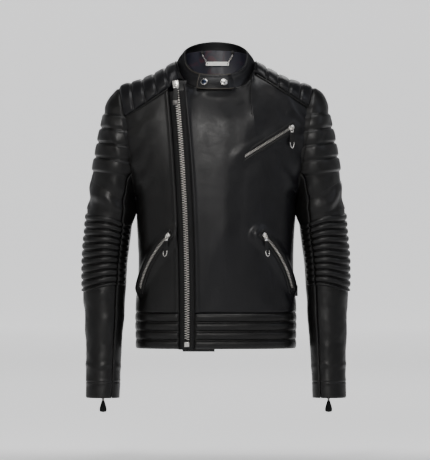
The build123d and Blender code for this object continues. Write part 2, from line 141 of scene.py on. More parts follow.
def normals(p, closed=False):
    """Unit normals of a grid of points: across the columns, then up the rows."""
    if closed:
        du = np.roll(p, -1, 1) - np.roll(p, 1, 1)
    else:
        du = np.gradient(p, axis=1)
    return unit(np.cross(du, np.gradient(p, axis=0)))


def field(p, size, seed=0.0, stretch=(1, 1, 1)):
    """Smooth noise from -1 to 1 over an array of points, with features about size wide."""
    q = p.reshape(-1, 3) / (size * np.array(stretch)) + seed
    return np.array([noise.noise(Vector(v)) for v in q]).reshape(p.shape[:-1])


def bump(x, width):
    return np.exp(-(x / width) ** 2)


def quilt(phase, pitch, groove=2.7, dome=0.5):
    """Quilted pad between sewn channels at whole phases: a soft dome with narrow, crisp channels."""
    t = phase - np.floor(phase)
    gap = np.minimum(t, 1 - t) * pitch
    return dome * (1 - (2 * t - 1) ** 2) + (1 - dome) * (1 - np.exp(-(gap / groove) ** 2))


def ramp(x, low, high):
    t = np.clip((x - low) / (high - low), 0, 1)
    return t * t * (3 - 2 * t)


def run_lengths(p, axis):
    """Distance of each grid point from the two ends of its row or column."""
    step = np.linalg.norm(np.diff(p, axis=axis), axis=-1)
    zero = np.zeros_like(np.take(step, [0], axis))
    ahead = np.concatenate([zero, np.cumsum(step, axis)], axis)
    return ahead, np.take(ahead, [-1], axis) - ahead


# ---------------------------------------------------------------- meshes
def make_object(name, verts, faces, material, smooth=True):
    mesh = bpy.data.meshes.new(name)
    mesh.from_pydata((np.asarray(verts) * MM).tolist(), [], faces)
    mesh.materials.append(material)
    mesh.polygons.foreach_set("use_smooth", [smooth] * len(mesh.polygons))
    mesh.update()
    piece = bpy.data.objects.new(name, mesh)
    bpy.context.scene.collection.objects.link(piece)
    return piece


def grid_faces(rows, cols, start=0, closed=False, flip=False):
    faces = []
    for i in range(rows - 1):
        for j in range(cols if closed else cols - 1):
            k = (j + 1) % cols
            quad = (start + i * cols + j, start + i * cols + k,
                    start + (i + 1) * cols + k, start + (i + 1) * cols + j)
            faces.append(quad[::-1] if flip else quad)
    return faces


def shell(name, p, material, thick=LEATHER, closed=False):
    """Closed skin of even thickness whose outer face is the grid p."""
    rows, cols = p.shape[:2]
    inner = p - normals(p, closed) * thick
    verts = np.concatenate([p.reshape(-1, 3), inner.reshape(-1, 3)])
    half = rows * cols
    faces = grid_faces(rows, cols, 0, closed) + grid_faces(rows, cols, half, closed, True)
    for j in range(cols if closed else cols - 1):
        k = (j + 1) % cols
        faces.append((k, j, half + j, half + k))
        top = (rows - 1) * cols
        faces.append((top + j, top + k, half + top + k, half + top + j))
    if not closed:
        for i in range(rows - 1):
            a, b = i * cols, (i + 1) * cols
            faces.append((a, b, half + b, half + a))
            c, d = a + cols - 1, b + cols - 1
            faces.append((d, c, half + c, half + d))
    return make_object(name, verts, faces, material)


def coons(left, right, bottom, top, rows, cols):
    """Fill four boundary curves, given as functions of 0 to 1, with a grid."""
    v, u = np.linspace(0, 1, rows), np.linspace(0, 1, cols)
    lf, rt = left(v)[:, None], right(v)[:, None]
    bt, tp = bottom(u)[None], top(u)[None]
    v, u = v[:, None, None], u[None, :, None]
    corners = ((1 - u) * (1 - v) * bt[:, :1] + u * (1 - v) * bt[:, -1:]
               + (1 - u) * v * tp[:, :1] + u * v * tp[:, -1:])
    return (1 - u) * lf + u * rt + (1 - v) * bt + v * tp - corners


def polyline(*points):
    """A curve through points, as a function of 0 to 1, spaced by distance."""
    pts = np.array(points, float)
    d = np.concatenate([[0], np.cumsum(np.linalg.norm(np.diff(pts, axis=0), axis=1))])
    return lambda t: np.stack([np.interp(t, d / d[-1], pts[:, k]) for k in range(pts.shape[1])], -1)


def sweep(name, path, outline, material, closed=False, up=(0, 0, 1)):
    """Carry a closed outline (side, up pairs) along a path of points."""
    path = np.array(path, float)
    outline = np.array(outline, float)
    if closed:
        tangent = np.roll(path, -1, 0) - np.roll(path, 1, 0)
    else:
        tangent = np.gradient(path, axis=0)
    tangent = unit(tangent)
    up = np.broadcast_to(np.array(up, float), path.shape)
    side = unit(np.cross(tangent, up))
    up = np.cross(side, tangent)
    rings = path[:, None] + side[:, None] * outline[None, :, :1] + up[:, None] * outline[None, :, 1:]
    n, m = rings.shape[:2]
    faces = grid_faces(n, m, 0, True)
    if closed:
        faces += [((n - 1) * m + j, (n - 1) * m + (j + 1) % m, (j + 1) % m, j) for j in range(m)]
    else:
        faces += [tuple(range(m))[::-1], tuple((n - 1) * m + j for j in range(m))]
    return make_object(name, rings.reshape(-1, 3), faces, material)


def round_outline(rx, ry, count=12, power=1.0):
    a = np.arange(count) * 2 * math.pi / count
    c, s = np.cos(a), np.sin(a)
    return np.stack([rx * np.sign(c) * abs(c) ** power, ry * np.sign(s) * abs(s) ** power], -1)


def join(name, parts):
    """Join pieces into one object."""
    verts, faces, smooth, total = [], [], [], 0
    material = parts[0].data.materials[0]
    for p in parts:
        co = np.zeros(len(p.data.vertices) * 3)
        p.data.vertices.foreach_get("co", co)
        verts.append(co.reshape(-1, 3))
        faces += [tuple(v + total for v in f.vertices) for f in p.data.polygons]
        smooth += [f.use_smooth for f in p.data.polygons]
        total += len(p.data.vertices)
        old = p.data
        bpy.data.objects.remove(p)
        bpy.data.meshes.remove(old)
    piece = make_object(name, np.concatenate(verts) / MM, faces, material)
    piece.data.polygons.foreach_set("use_smooth", smooth)
    return piece


def place(piece, body, slot, *replaced):
    """Attach a piece to the body it rides and hide the CAD nodes it stands for; the slot argument is not
    used.
    """
    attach(piece, body)
    if replaced:
        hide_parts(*replaced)


def bevel(piece, width):
    m = piece.modifiers.new("bevel", "BEVEL")
    m.width, m.segments = width * MM, 2
    m.limit_method, m.angle_limit = "ANGLE", math.radians(35)
    return piece


# ---------------------------------------------------------------- materials
def material(name, colour, roughness, metallic=0.0):
    mat = bpy.data.materials.new(name)
    mat.use_nodes = True
    shader = mat.node_tree.nodes["Principled BSDF"]
    shader.inputs["Base Color"].default_value = (*colour, 1)
    shader.inputs["Roughness"].default_value = roughness
    shader.inputs["Metallic"].default_value = metallic
    return mat, mat.node_tree, shader


def node(tree, kind, **values):
    made = tree.nodes.new(kind)
    for key, value in values.items():
        if key in made.inputs:
            made.inputs[key].default_value = value
        else:
            setattr(made, key, value)
    return made


def textures(tree, *kinds):
    """Texture nodes that read the object's own coordinates, from (kind, settings) pairs."""
    where = node(tree, "ShaderNodeTexCoord").outputs["Object"]
    made = [node(tree, f"ShaderNodeTex{kind}", **values) for kind, values in kinds]
    for texture in made:
        tree.links.new(where, texture.inputs["Vector"])
    return made


def ranged(tree, value, goal, source, result, **settings):
    """Map a socket's numbers from one range to another and feed them to a goal socket."""
    span = node(tree, "ShaderNodeMapRange", **settings)
    for name, number in zip(("From Min", "From Max", "To Min", "To Max"), (*source, *result)):
        span.inputs[name].default_value = number
    tree.links.new(value, span.inputs["Value"])
    tree.links.new(span.outputs["Result"], goal)


def coloured(tree, shader, factor, dark, light, low=0.3, high=0.7):
    mix = node(tree, "ShaderNodeValToRGB")
    mix.color_ramp.elements[0].position, mix.color_ramp.elements[1].position = low, high
    mix.color_ramp.elements[0].color = (*dark, 1)
    mix.color_ramp.elements[1].color = (*light, 1)
    tree.links.new(factor, mix.inputs["Fac"])
    tree.links.new(mix.outputs["Color"], shader.inputs["Base Color"])


def bumped(tree, shader, *layers):
    """Chain bump layers: (output socket, strength, distance in mm)."""
    last = None
    for socket, strength, distance in layers:
        made = node(tree, "ShaderNodeBump", Strength=strength, Distance=distance * MM)
        tree.links.new(socket, made.inputs["Height"])
        if last:
            tree.links.new(last.outputs["Normal"], made.inputs["Normal"])
        last = made
    tree.links.new(last.outputs["Normal"], shader.inputs["Normal"])


def leather_material(name, dark, light, roughness=(0.33, 0.5)):
    """Smooth aniline leather: fine pebble grain, faint creases, uneven sheen and tone."""
    mat, tree, shader = material(name, dark, roughness[0])
    grain, pores, crease, tone = textures(
        tree, ("Voronoi", dict(Scale=620.0, feature="DISTANCE_TO_EDGE")),
        ("Noise", dict(Scale=1500.0, Detail=3.0)),
        ("Noise", dict(Scale=46.0, Detail=8.0, Roughness=0.62, Distortion=0.6)),
        ("Noise", dict(Scale=11.0, Detail=4.0)))
    coloured(tree, shader, tone.outputs["Fac"], dark, light)
    ranged(tree, crease.outputs["Fac"], shader.inputs["Roughness"], (0.3, 0.7), roughness)
    bumped(tree, shader, (grain.outputs["Distance"], 0.35, 0.22), (pores.outputs["Fac"], 0.12, 0.12),
           (crease.outputs["Fac"], 0.35, 0.8))
    shader.inputs["Specular IOR Level"].default_value = 0.36
    shader.inputs["Coat Weight"].default_value = 0.08
    shader.inputs["Coat Roughness"].default_value = 0.3
    return mat


def satin_material():
    """Dark navy lining satin with a fine twill and faint wine-red blotches."""
    mat, tree, shader = material("lining_satin", (0.010, 0.010, 0.022), 0.42)
    blotch, twill, folds = textures(
        tree, ("Noise", dict(Scale=34.0, Detail=2.0, Distortion=1.2)),
        ("Wave", dict(Scale=420.0, bands_direction="DIAGONAL")), ("Noise", dict(Scale=22.0, Detail=3.0)))
    coloured(tree, shader, blotch.outputs["Fac"], (0.009, 0.009, 0.021), (0.055, 0.006, 0.016), 0.52, 0.72)
    bumped(tree, shader, (twill.outputs["Fac"], 0.25, 0.1), (folds.outputs["Fac"], 0.6, 3.0))
    shader.inputs["Sheen Weight"].default_value = 0.25
    shader.inputs["Sheen Roughness"].default_value = 0.4
    return mat


def tape_material(name, dark, light):
    """Tightly woven zip tape or thread: ribs of yarn with a dull finish."""
    mat, tree, shader = material(name, dark, 0.82)
    yarn, fuzz = textures(tree, ("Wave", dict(Scale=520.0, bands_direction="Z", Distortion=1.0)),
                          ("Noise", dict(Scale=900.0, Detail=4.0)))
    coloured(tree, shader, fuzz.outputs["Fac"], dark, light)
    bumped(tree, shader, (yarn.outputs["Fac"], 0.5, 0.2), (fuzz.outputs["Fac"], 0.3, 0.15))
    return mat


def metal_material(name, colour, roughness):
    """Plated metal with faint scratches and a slightly uneven polish."""
    mat, tree, shader = material(name, colour, roughness, 1.0)
    wear, scratch = textures(tree, ("Noise", dict(Scale=300.0, Detail=6.0)),
                             ("Noise", dict(Scale=900.0, Detail=2.0, Distortion=2.0)))
    dark = tuple(c * 0.72 for c in colour)
    coloured(tree, shader, wear.outputs["Fac"], dark, colour, 0.2, 0.55)
    ranged(tree, wear.outputs["Fac"], shader.inputs["Roughness"], (0, 1), (roughness * 0.7, roughness * 1.5))
    bumped(tree, shader, (scratch.outputs["Fac"], 0.12, 0.1))
    return mat


LEATHER_MAT = leather_material("jacket_leather", (0.0036, 0.0035, 0.0034), (0.0066, 0.0063, 0.0062))
# Second copy of the leather with a faint blue tint painted into its colour: a painted cool reflection
# standing in for the soft bluish highlight on the wearer's left front, the yokes and the collar.
LEATHER_PAINTED_COOL_REFLECTION = leather_material("jacket_leather_painted_cool_reflection", (0.0036, 0.0036, 0.0043), (0.0066, 0.0065, 0.0084))
EDGE_MAT = leather_material("leather_edge", (0.003, 0.003, 0.003), (0.006, 0.006, 0.006), (0.5, 0.62))
WORN_EDGE = leather_material("worn_leather_edge", (0.045, 0.039, 0.032), (0.100, 0.088, 0.072), (0.4, 0.55))
SATIN = satin_material()
TAPE = tape_material("zip_tape", (0.0030, 0.0030, 0.0032), (0.007, 0.007, 0.0075))
THREAD = tape_material("topstitch_thread", (0.010, 0.0095, 0.009), (0.028, 0.026, 0.024))
TAB_THREAD = tape_material("collar_tab_thread", (0.030, 0.028, 0.025), (0.060, 0.055, 0.050))
LABEL = tape_material("label_cloth", (0.02, 0.02, 0.023), (0.05, 0.05, 0.055))
NICKEL = metal_material("nickel", (0.86, 0.84, 0.80), 0.24)
TEETH_METAL = metal_material("zip_teeth_metal", (0.72, 0.69, 0.65), 0.36)
PLATE_METAL = metal_material("hanger_plate_metal", (0.88, 0.87, 0.84), 0.42)
DARK_STEEL = metal_material("dark_steel", (0.15, 0.145, 0.14), 0.42)
GUNMETAL = metal_material("gunmetal", (0.035, 0.045, 0.075), 0.24)


# ---------------------------------------------------------------- torso surface
def zip_line(z):
    t = ((ZIP_TOP[2] - np.asarray(z, float)) / (ZIP_TOP[2] - ZIP_END[2]))[..., None]
    p = ZIP_TOP + (ZIP_END - ZIP_TOP) * t + ZIP_BULGE * (4 * t * (1 - t))
    return p[..., 0], p[..., 1]


def armhole_x(z):
    return 216.0 + (np.asarray(z, float) - SHOULDER_Z) * 34.0 / (SHOULDER_Z - ARMPIT_Z)


def half_width(z):
    z = np.asarray(z, float)
    rise = np.clip((z + 165.0) / 121.5, -1, 1)
    edge = 66.0 * np.sqrt(1 - rise**2)
    at_arm = armhole_x(z) / (1 - (edge / 104.0) ** ROUNDNESS) ** (1 / ROUNDNESS)
    return np.where((z > ARMPIT_Z) & (z < SHOULDER_Z), at_arm, smooth_rows(TORSO_ROWS, z)[..., 0])


def raw_front_depth(z):
    x, y = zip_line(np.minimum(z, ZIP_TOP[2]))
    on_zip = -y / (1 - (abs(x) / half_width(z)) ** ROUNDNESS) ** (1 / ROUNDNESS)
    return np.where(z > ZIP_TOP[2], smooth_rows(NECK_DEPTH_ROWS, z)[..., 0], on_zip)


def front_depth(z):
    z = np.asarray(z, float)
    eased = sum(raw_front_depth(z + k * 3.5) for k in range(-4, 5)) / 9
    near = ramp(z, -95, -60)
    return raw_front_depth(z) * (1 - near) + eased * near


def torso_at(angle, z, lift=0.0):
    """Points on the torso at angles (degrees, -90 is the front) and heights."""
    angle, z = np.broadcast_arrays(np.asarray(angle, float), np.asarray(z, float))
    c, s = np.cos(np.radians(angle)), np.sin(np.radians(angle))
    reach = np.where(s > 0, smooth_rows(TORSO_ROWS, z)[..., 1], front_depth(z))
    power = 2 / ROUNDNESS
    x = (half_width(z) + lift) * np.sign(c) * abs(c) ** power
    y = (reach + lift) * np.sign(s) * abs(s) ** power
    return np.stack([x, y, z], -1)


def angle_at(x, z, back=False):
    x = np.asarray(x, float)
    c = np.minimum(1.0, abs(x) / half_width(z)) ** (ROUNDNESS / 2)
    angle = np.degrees(np.arccos(c))
    angle = np.where(x > 0, angle, 180 - angle)
    return angle if back else -angle


COLLAR_BASE, COLLAR_RIM = (88, 64, 85), (72, 62, 68)     # half width, depth behind, depth in front


def collar_ring(angle, rise, lift=0.0):
    """Points on the stand collar's outer face: rise 0 at its base, 1 at its top."""
    angle, rise = np.broadcast_arrays(np.asarray(angle, float), np.asarray(rise, float))
    c, s = np.cos(np.radians(angle)), np.sin(np.radians(angle))
    back = s > 0
    drop = 1 - (1 - abs(s)) ** 1.4
    low_z = np.where(back, 16 + 5 * s, 16 - 64 * drop)
    high_z = np.where(back, 38 + 27 * s, 38 - 51 * drop)
    low, high = (np.stack([(width + lift) * c, (np.where(back, behind, ahead) + lift) * s, z], -1)
                 for (width, behind, ahead), z in ((COLLAR_BASE, low_z), (COLLAR_RIM, high_z)))
    belly = (2.5 * np.sin(np.pi * np.clip(rise, 0, 1)))[..., None]
    out = np.stack([c, s, 0 * c], -1)
    return low + (high - low) * rise[..., None] + out * belly


# ---------------------------------------------------------------- zip tracks
class Track:
    """A zip's centre line, read from its sliding joint and its puller's pin."""

    def __init__(self, run, swing, pin_height):
        pin = np.array(swing["pos_m"]) / MM
        side = np.array(swing["axis"])
        self.straight = run["type"] == "slide"
        if self.straight:
            self.travel = np.array(run["axis"])
            self.length = run["range_m"][1] / MM
        else:
            self.centre = np.array(run["pos_m"]) / MM
            self.axis = np.array(run["axis"])
            arm = pin - self.centre
            arm = arm - self.axis * arm.dot(self.axis)
            self.travel = unit(np.cross(self.axis, arm))
            self.length = math.radians(run["range_deg"][1]) * np.linalg.norm(arm)
        out = unit(np.cross(side, self.travel))
        self.out = out if (out[1] < 0) != self.straight else -out
        self.start = pin - self.out * pin_height
        self.side = unit(np.cross(self.travel, self.out))

    def at(self, distance):
        """Points and frames (travel, side, out) at distances along the zip."""
        d = np.atleast_1d(np.asarray(distance, float))
        if self.straight:
            p = self.start + d[:, None] * self.travel
            return p, *(np.broadcast_to(v, p.shape) for v in (self.travel, self.side, self.out))
        arm, k = self.start - self.centre, self.axis
        a = (d / np.linalg.norm(arm - k * arm.dot(k)))[:, None]
        turned = [v * np.cos(a) + np.cross(k, v) * np.sin(a) + k * k.dot(v) * (1 - np.cos(a))
                  for v in (arm, self.travel, self.side, self.out)]
        return self.centre + turned[0], *turned[1:]


PLATE_LIFT = 0.4 + 1.5 + 1.5               # from the chain's top to the puller's pin
MAIN_CHAIN_TOP, POCKET_CHAIN_TOP, CUFF_CHAIN_TOP = 1.6, 3.3, 3.0
ZIP_NAMES = {"main_zip": "main_zip", "chest": "chest_zip"}
for wearer_side in SIDES:
    ZIP_NAMES[f"pocket_{wearer_side}"] = f"pocket_zip_{wearer_side}"
    ZIP_NAMES[f"cuff_zip_{wearer_side}"] = f"cuff_zip_{wearer_side}"


def track_of(key, chain_top):
    run, swing = (JOINTS[f"{ZIP_NAMES[key]}_{part}"] for part in ("run", "puller_swing"))
    return Track(run, swing, chain_top + PLATE_LIFT)


MAIN = track_of("main_zip", MAIN_CHAIN_TOP)
POCKETS = {key: track_of(key, POCKET_CHAIN_TOP) for key in ("chest", "pocket_left", "pocket_right")}
CUFFS = {side: track_of(f"cuff_zip_{side}", CUFF_CHAIN_TOP) for side in SIDES}
STOP = {"main": 29.0, "pocket": 14.0}      # chain left below the slider's last stop


def meet_zips(p):
    """Lift the leather near each pocket zip so that it meets the zip's tape."""
    n = normals(p)
    out = p.copy()
    for track in POCKETS.values():
        line, _, _, up = track.at(np.linspace(-6, track.length + STOP["pocket"], 40))
        flat = out.reshape(-1, 3)
        gap = np.linalg.norm(flat[:, None] - line[None], axis=2)
        near = gap.argmin(1)
        off = flat - line[near]
        high = (off * up[near]).sum(1)
        across = np.sqrt(np.maximum(gap[np.arange(len(flat)), near] ** 2 - high**2, 0))
        move = (0.5 - high) * np.exp(-(across / 20.0) ** 4)
        move = np.where(gap[np.arange(len(flat)), near] < 45, move, 0)
        out = out + (n.reshape(-1, 3) * move[:, None]).reshape(p.shape)
    return out


# ---------------------------------------------------------------- stitches
STITCHES = {}


def stitch_row(group, path, pitch=4.2, length=3.0, width=0.42):
    """Add a row of raised stitches along a path to a body's thread."""
    path = np.asarray(path, float)
    d = np.concatenate([[0], np.cumsum(np.linalg.norm(np.diff(path, axis=0), axis=1))])
    count = int(d[-1] / pitch)
    if count < 2:
        return
    starts = (np.arange(count) + 0.2) * pitch
    a = np.stack([np.interp(starts, d, path[:, k]) for k in range(3)], -1)
    b = np.stack([np.interp(starts + length, d, path[:, k]) for k in range(3)], -1)
    STITCHES.setdefault(group, []).append((a, b, width))


def build_stitches(group, rows):
    """One object with every stitch of a group, each a slim five-sided spindle."""
    verts, faces, total = [], [], 0
    for a, b, width in rows:
        along = unit(b - a)
        first = unit(np.cross(along, np.array([0.31, 0.17, 0.93])))
        second = np.cross(along, first)
        rings = []
        for share in (0.22, 0.78):
            for turn in range(5):
                t = turn * 2 * math.pi / 5
                rings.append(a + (b - a) * share + (first * math.cos(t) + second * math.sin(t)) * width)
        block = np.stack([a, *rings, b], 1)
        n, m = block.shape[:2]
        verts.append(block.reshape(-1, 3))
        for i in range(n):
            o = total + i * m
            for j in range(5):
                k = (j + 1) % 5
                faces.append((o, o + 1 + k, o + 1 + j))
                faces.append((o + 1 + j, o + 1 + k, o + 6 + k, o + 6 + j))
                faces.append((o + 6 + j, o + 6 + k, o + 11))
        total += n * m
    thread = TAB_THREAD if group.startswith("collar") else THREAD
    return make_object(group, np.concatenate(verts), faces, thread)


def along_edge(p, edge, distance):
    """Points of a grid at a distance in from one of its edges."""
    q = {"left": p, "right": p[:, ::-1], "bottom": p.transpose(1, 0, 2),
         "top": p[::-1].transpose(1, 0, 2)}[edge]
    d, _ = run_lengths(q, 1)
    return np.stack([[np.interp(distance, d[i], q[i, :, k]) for k in range(3)] for i in range(len(q))])


def edge_stitches(group, p, lift, *rows):
    """Rows of stitches beside a panel's edges, from (edge, distance) pairs."""
    p = p + normals(p) * lift
    for edge, distance in rows:
        stitch_row(group, along_edge(p, edge, distance))


def seam_roll(p, edges, depth=2.2, width=2.6):
    """How far the leather turns in at its sewn edges."""
    left, right = run_lengths(p, 1)
    low, high = run_lengths(p, 0)
    sides = {"left": left, "right": right, "bottom": low, "top": high}
    return -depth * sum(bump(sides[e], width) for e in edges)


# ---------------------------------------------------------------- torso panels
def drape(p):
    """Soft hang of the leather on the body: broad waves, faint pulls from the seams."""
    d = 1.5 * field(p, 95, 3.1, (1, 1, 2.2)) + 0.8 * field(p, 38, 8.7, (1, 1, 1.8))
    front = p[..., 1] < -20
    # soft fold down the chest
    crease = np.interp(p[..., 2], (-560, -320, -227, -171, -59), (20, 26, 37, 71, 90))
    d += np.where(front, (4.5 - 4.5 * ramp(p[..., 0] - crease, -14, 34)) * ramp(p[..., 0], -60, 30)
                  * ramp(p[..., 2], -560, -330) * ramp(-p[..., 2], 60, 130), 0)
    # pull towards the zip at the belly
    d += np.where(front, 1.5 * bump(p[..., 0] - 10 - 0.5 * (p[..., 2] + 380), 22)
                  * ramp(-p[..., 2], 300, 380) * ramp(p[..., 2], -540, -470), 0)
    # gathers above the waistband
    low = ramp(-p[..., 2], 470, 546)
    d += low * 1.3 * np.sin(p[..., 0] / 13 + 2.5 * field(p, 60, 5.5))
    # creases at the armholes
    arm = ramp(p[..., 2], -330, -255) * ramp(abs(p[..., 0]), 120, 185)
    d += arm * 1.6 * np.sin((p[..., 2] + 0.9 * abs(p[..., 0])) / 9 + 2 * field(p, 40, 2.0))
    return d


def yoke_line(side, share):
    """Yoke's front seam: x and z from the neck ring (0) to the armhole (1)."""
    z_in, z_out = YOKE_SEAM_Z[side]
    x_out = float(armhole_x(z_out))
    slope = (z_in - z_out) / (x_out - NECK_HALF_WIDTH)
    x_start = {"left": 86.0, "right": 77.0}[side]
    x = x_start + (x_out - x_start) * np.asarray(share, float)
    return x, z_in - (x - NECK_HALF_WIDTH) * slope


NECK_X = {"left": 84.0, "right": 77.0}


def collar_base(x, back):
    """Neckline of the panels at a given x: on the collar's base in the middle, wider at the neck's sides."""
    x = np.asarray(x, float)
    angle = np.degrees(np.arccos(np.clip(x / 88.0, -1, 1)))
    p = collar_ring(angle if back else -angle, 0.02, 0.6)
    side = torso_at(angle_at(x, p[..., 2], back), p[..., 2])
    return p + (side - p) * (0.62 * ramp(abs(x), 35, 80))[..., None]


NECK_EDGES = []


def collar_seat():
    """Leather between the panels' necklines and the collar's base seam."""
    for k, edge in enumerate(NECK_EDGES):
        angle = np.degrees(np.arctan2(edge[:, 1] / 85.0, edge[:, 0] / 88.0))
        ring = collar_ring(angle, 0.05, -0.6)
        share = np.linspace(0, 1, 9)[:, None, None]
        p = edge[None] + (ring - edge)[None] * share - np.array([0, 0, 1.6]) * (1 - share)
        p[..., 2] += 1.5 * np.sin(math.pi * share[..., 0])
        faces_up = normals(p)[4, len(edge) // 2, 2] > 0
        seat = shell(f"collar_seat_{k}", p if faces_up else p[:, ::-1], LEATHER_MAT, 1.6)
        place(seat, "torso", "leather")


def yoke_seam(side, share, back):
    """Yoke's seam in space, from the collar's base (0) over the chest or back to the armhole (1)."""
    sign = SIDES[side]
    share = np.asarray(share, float)
    x, z = yoke_line(side, share)
    x0, z0 = yoke_line(side, 0.0)
    p = torso_at(angle_at(sign * x, z, back), z)
    pull = collar_base(sign * NECK_X[side], back) - torso_at(angle_at(sign * x0, z0, back), z0)
    reach = 0.24 if side == "right" and not back else 0.8
    return p + pull * (np.clip(1 - share / reach, 0, 1) ** 2)[..., None]


def pull_to_neck(p, side_of, back, width):
    """Draw a panel's top edge in to the collar's base and the yokes' seams."""
    top = p[-1].copy()
    goal = top.copy()
    for j, x in enumerate(top[:, 0]):
        side = side_of(x)
        x0, x1 = float(yoke_line(side, 0.0)[0]), float(yoke_line(side, 1.0)[0])
        share = (abs(x) - x0) / (x1 - x0)
        if share > 0:
            goal[j] = yoke_seam(side, min(share, 1.0), back)
        else:
            goal[j] = collar_base(x, back)
    shift = goal - top
    if not back:
        shift = shift * ramp(top[:, 0], -74, -40)[:, None]
    reach = len(shift) // (14 if back else 7)
    kernel = np.hanning(2 * reach + 1)
    padded = np.pad(shift, ((reach, reach), (0, 0)), "edge")
    soft = np.stack([np.convolve(padded[:, k], kernel / kernel.sum(), "valid") for k in range(3)], -1)
    _, below = run_lengths(p, 0)
    near, far = (np.exp(-(below / w) ** 2)[..., None] for w in (width * 0.3, width))
    p = p + shift[None] * near + soft[None] * (far - near)
    ends = np.minimum(*run_lengths(p, 1))
    for _ in range(3):
        side = np.pad(p[..., 1], ((0, 0), (9, 9)), "edge")
        calm = np.mean([side[:, k:k + p.shape[1]] for k in range(19)], axis=0)
        p[..., 1] += (calm - p[..., 1]) * ramp(below, 3, 30) * ramp(ends, 4, 40)
    return p


def neck_front(side_from, side_to, count=40):
    """Angles and heights of the front neckline between two x positions."""
    x = np.linspace(side_from, side_to, count)
    c = np.clip(x / 91.0, -1, 1)
    s = np.sqrt(1 - c * c)
    z = 16 - 64 * (1 - (1 - s) ** 1.4) - 2.0
    return np.stack([angle_at(x, z), z], -1)


def front_grid(side, rows, cols):
    sign = SIDES[side]
    z_top = -32.0 if side == "left" else float(yoke_line("right", 0.24)[1]) - 1
    z = np.linspace(WAIST_SEAM_Z, z_top, 60)
    inner = np.stack([angle_at(zip_line(z)[0] + sign * PLACKET_HALF, z), z], -1)
    z_arm = YOKE_SEAM_Z[side][1]
    low = np.stack([np.full(30, 0.0 if sign > 0 else -180.0), np.linspace(WAIST_SEAM_Z, ARMPIT_Z, 30)], -1)
    z = ARMPIT_Z + (z_arm - ARMPIT_Z) * (1 - np.cos(np.linspace(0.05, 1, 60) * math.pi / 2)) ** 0.9
    arm = np.stack([angle_at(sign * armhole_x(z), z), z], -1)
    outer = np.concatenate([low, arm])
    x, z = yoke_line(side, np.linspace(0, 1, 40) if side == "left" else np.linspace(0.24, 1, 40))
    seam = np.stack([angle_at(sign * x, z), z], -1)
    bottom = np.stack([[inner[0, 0], outer[0, 0]], [WAIST_SEAM_Z] * 2], -1)
    if side == "left":
        neck = neck_front(zip_line(z_top)[0] + PLACKET_HALF, float(x[0]) - 1)
        neck[0] = inner[-1]
        top = np.concatenate([neck, seam])
    else:
        seam[0] = inner[-1]
        top = seam
    top[-1] = outer[-1]
    uv = coons(polyline(*inner), polyline(*outer), polyline(*bottom), polyline(*top), rows, cols)
    p = torso_at(uv[..., 0], uv[..., 1])
    if side == "left":
        p = pull_to_neck(p, lambda x: "left", False, 62.0)
        NECK_EDGES.append(p[-1][p[-1, :, 0] < 90])
    return p if side == "left" else p[:, ::-1]


def lining(name, p, inset, body="torso"):
    """Thin satin layer that follows a leather piece on its inside."""
    p = p - normals(p) * inset
    p = p + normals(p) * (0.9 * field(p, 34, 70.0, (1, 1, 3)))[..., None]
    piece = shell(name, p, SATIN, 0.7)
    if body:
        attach(piece, body)
        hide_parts("linings")
    return piece


def finish_leather(name, p, d, replaced, body="torso", mat=None, thick=LEATHER):
    """Displace, wrap and attach one leather piece to its body, hiding the CAD nodes it replaces."""
    p = p + normals(p) * d[..., None]
    piece = shell(name, p, mat or LEATHER_MAT, thick)
    if body:
        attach(piece, body)
    if replaced:
        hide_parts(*replaced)
    return piece, p


def fronts():
    for side in SIDES:
        p = front_grid(side, 230, 190 if side == "left" else 90)
        outer = "right" if side == "left" else "left"
        lining(f"lining_front_{side}", p[:-34:5, ::4], LINING_INSET)
        p = meet_zips(p)
        edge, other = run_lengths(p, 1)
        edge = edge if side == "left" else other
        d = drape(p) * ramp(edge, 4, 40) * ramp(p[..., 2], -548, -520)
        d += seam_roll(p, ["bottom", "top", outer])
        d += 1.6 * bump(edge - 5.5, 4.0) - 2.0 * bump(edge, 1.6)
        # The wearer's left front takes the leather copy with the painted cool reflection tint.
        _, q = finish_leather(f"front_{side}", p, d, [f"front_panel_{side}"],
                              mat=LEATHER_PAINTED_COOL_REFLECTION if side == "left" else LEATHER_MAT)
        edge_stitches("torso_stitching", q, 0.2, (side, 3.0), (side, 10.0), ("top", SEAM_STITCH),
                      (outer, SEAM_STITCH))


BACK_SEAM_Z, BACK_SEAM_SAG = -142, 0.00045


def back_seam(x):
    """Height of the seam across the back, which hangs lower towards the arms."""
    return BACK_SEAM_Z - BACK_SEAM_SAG * x ** 2


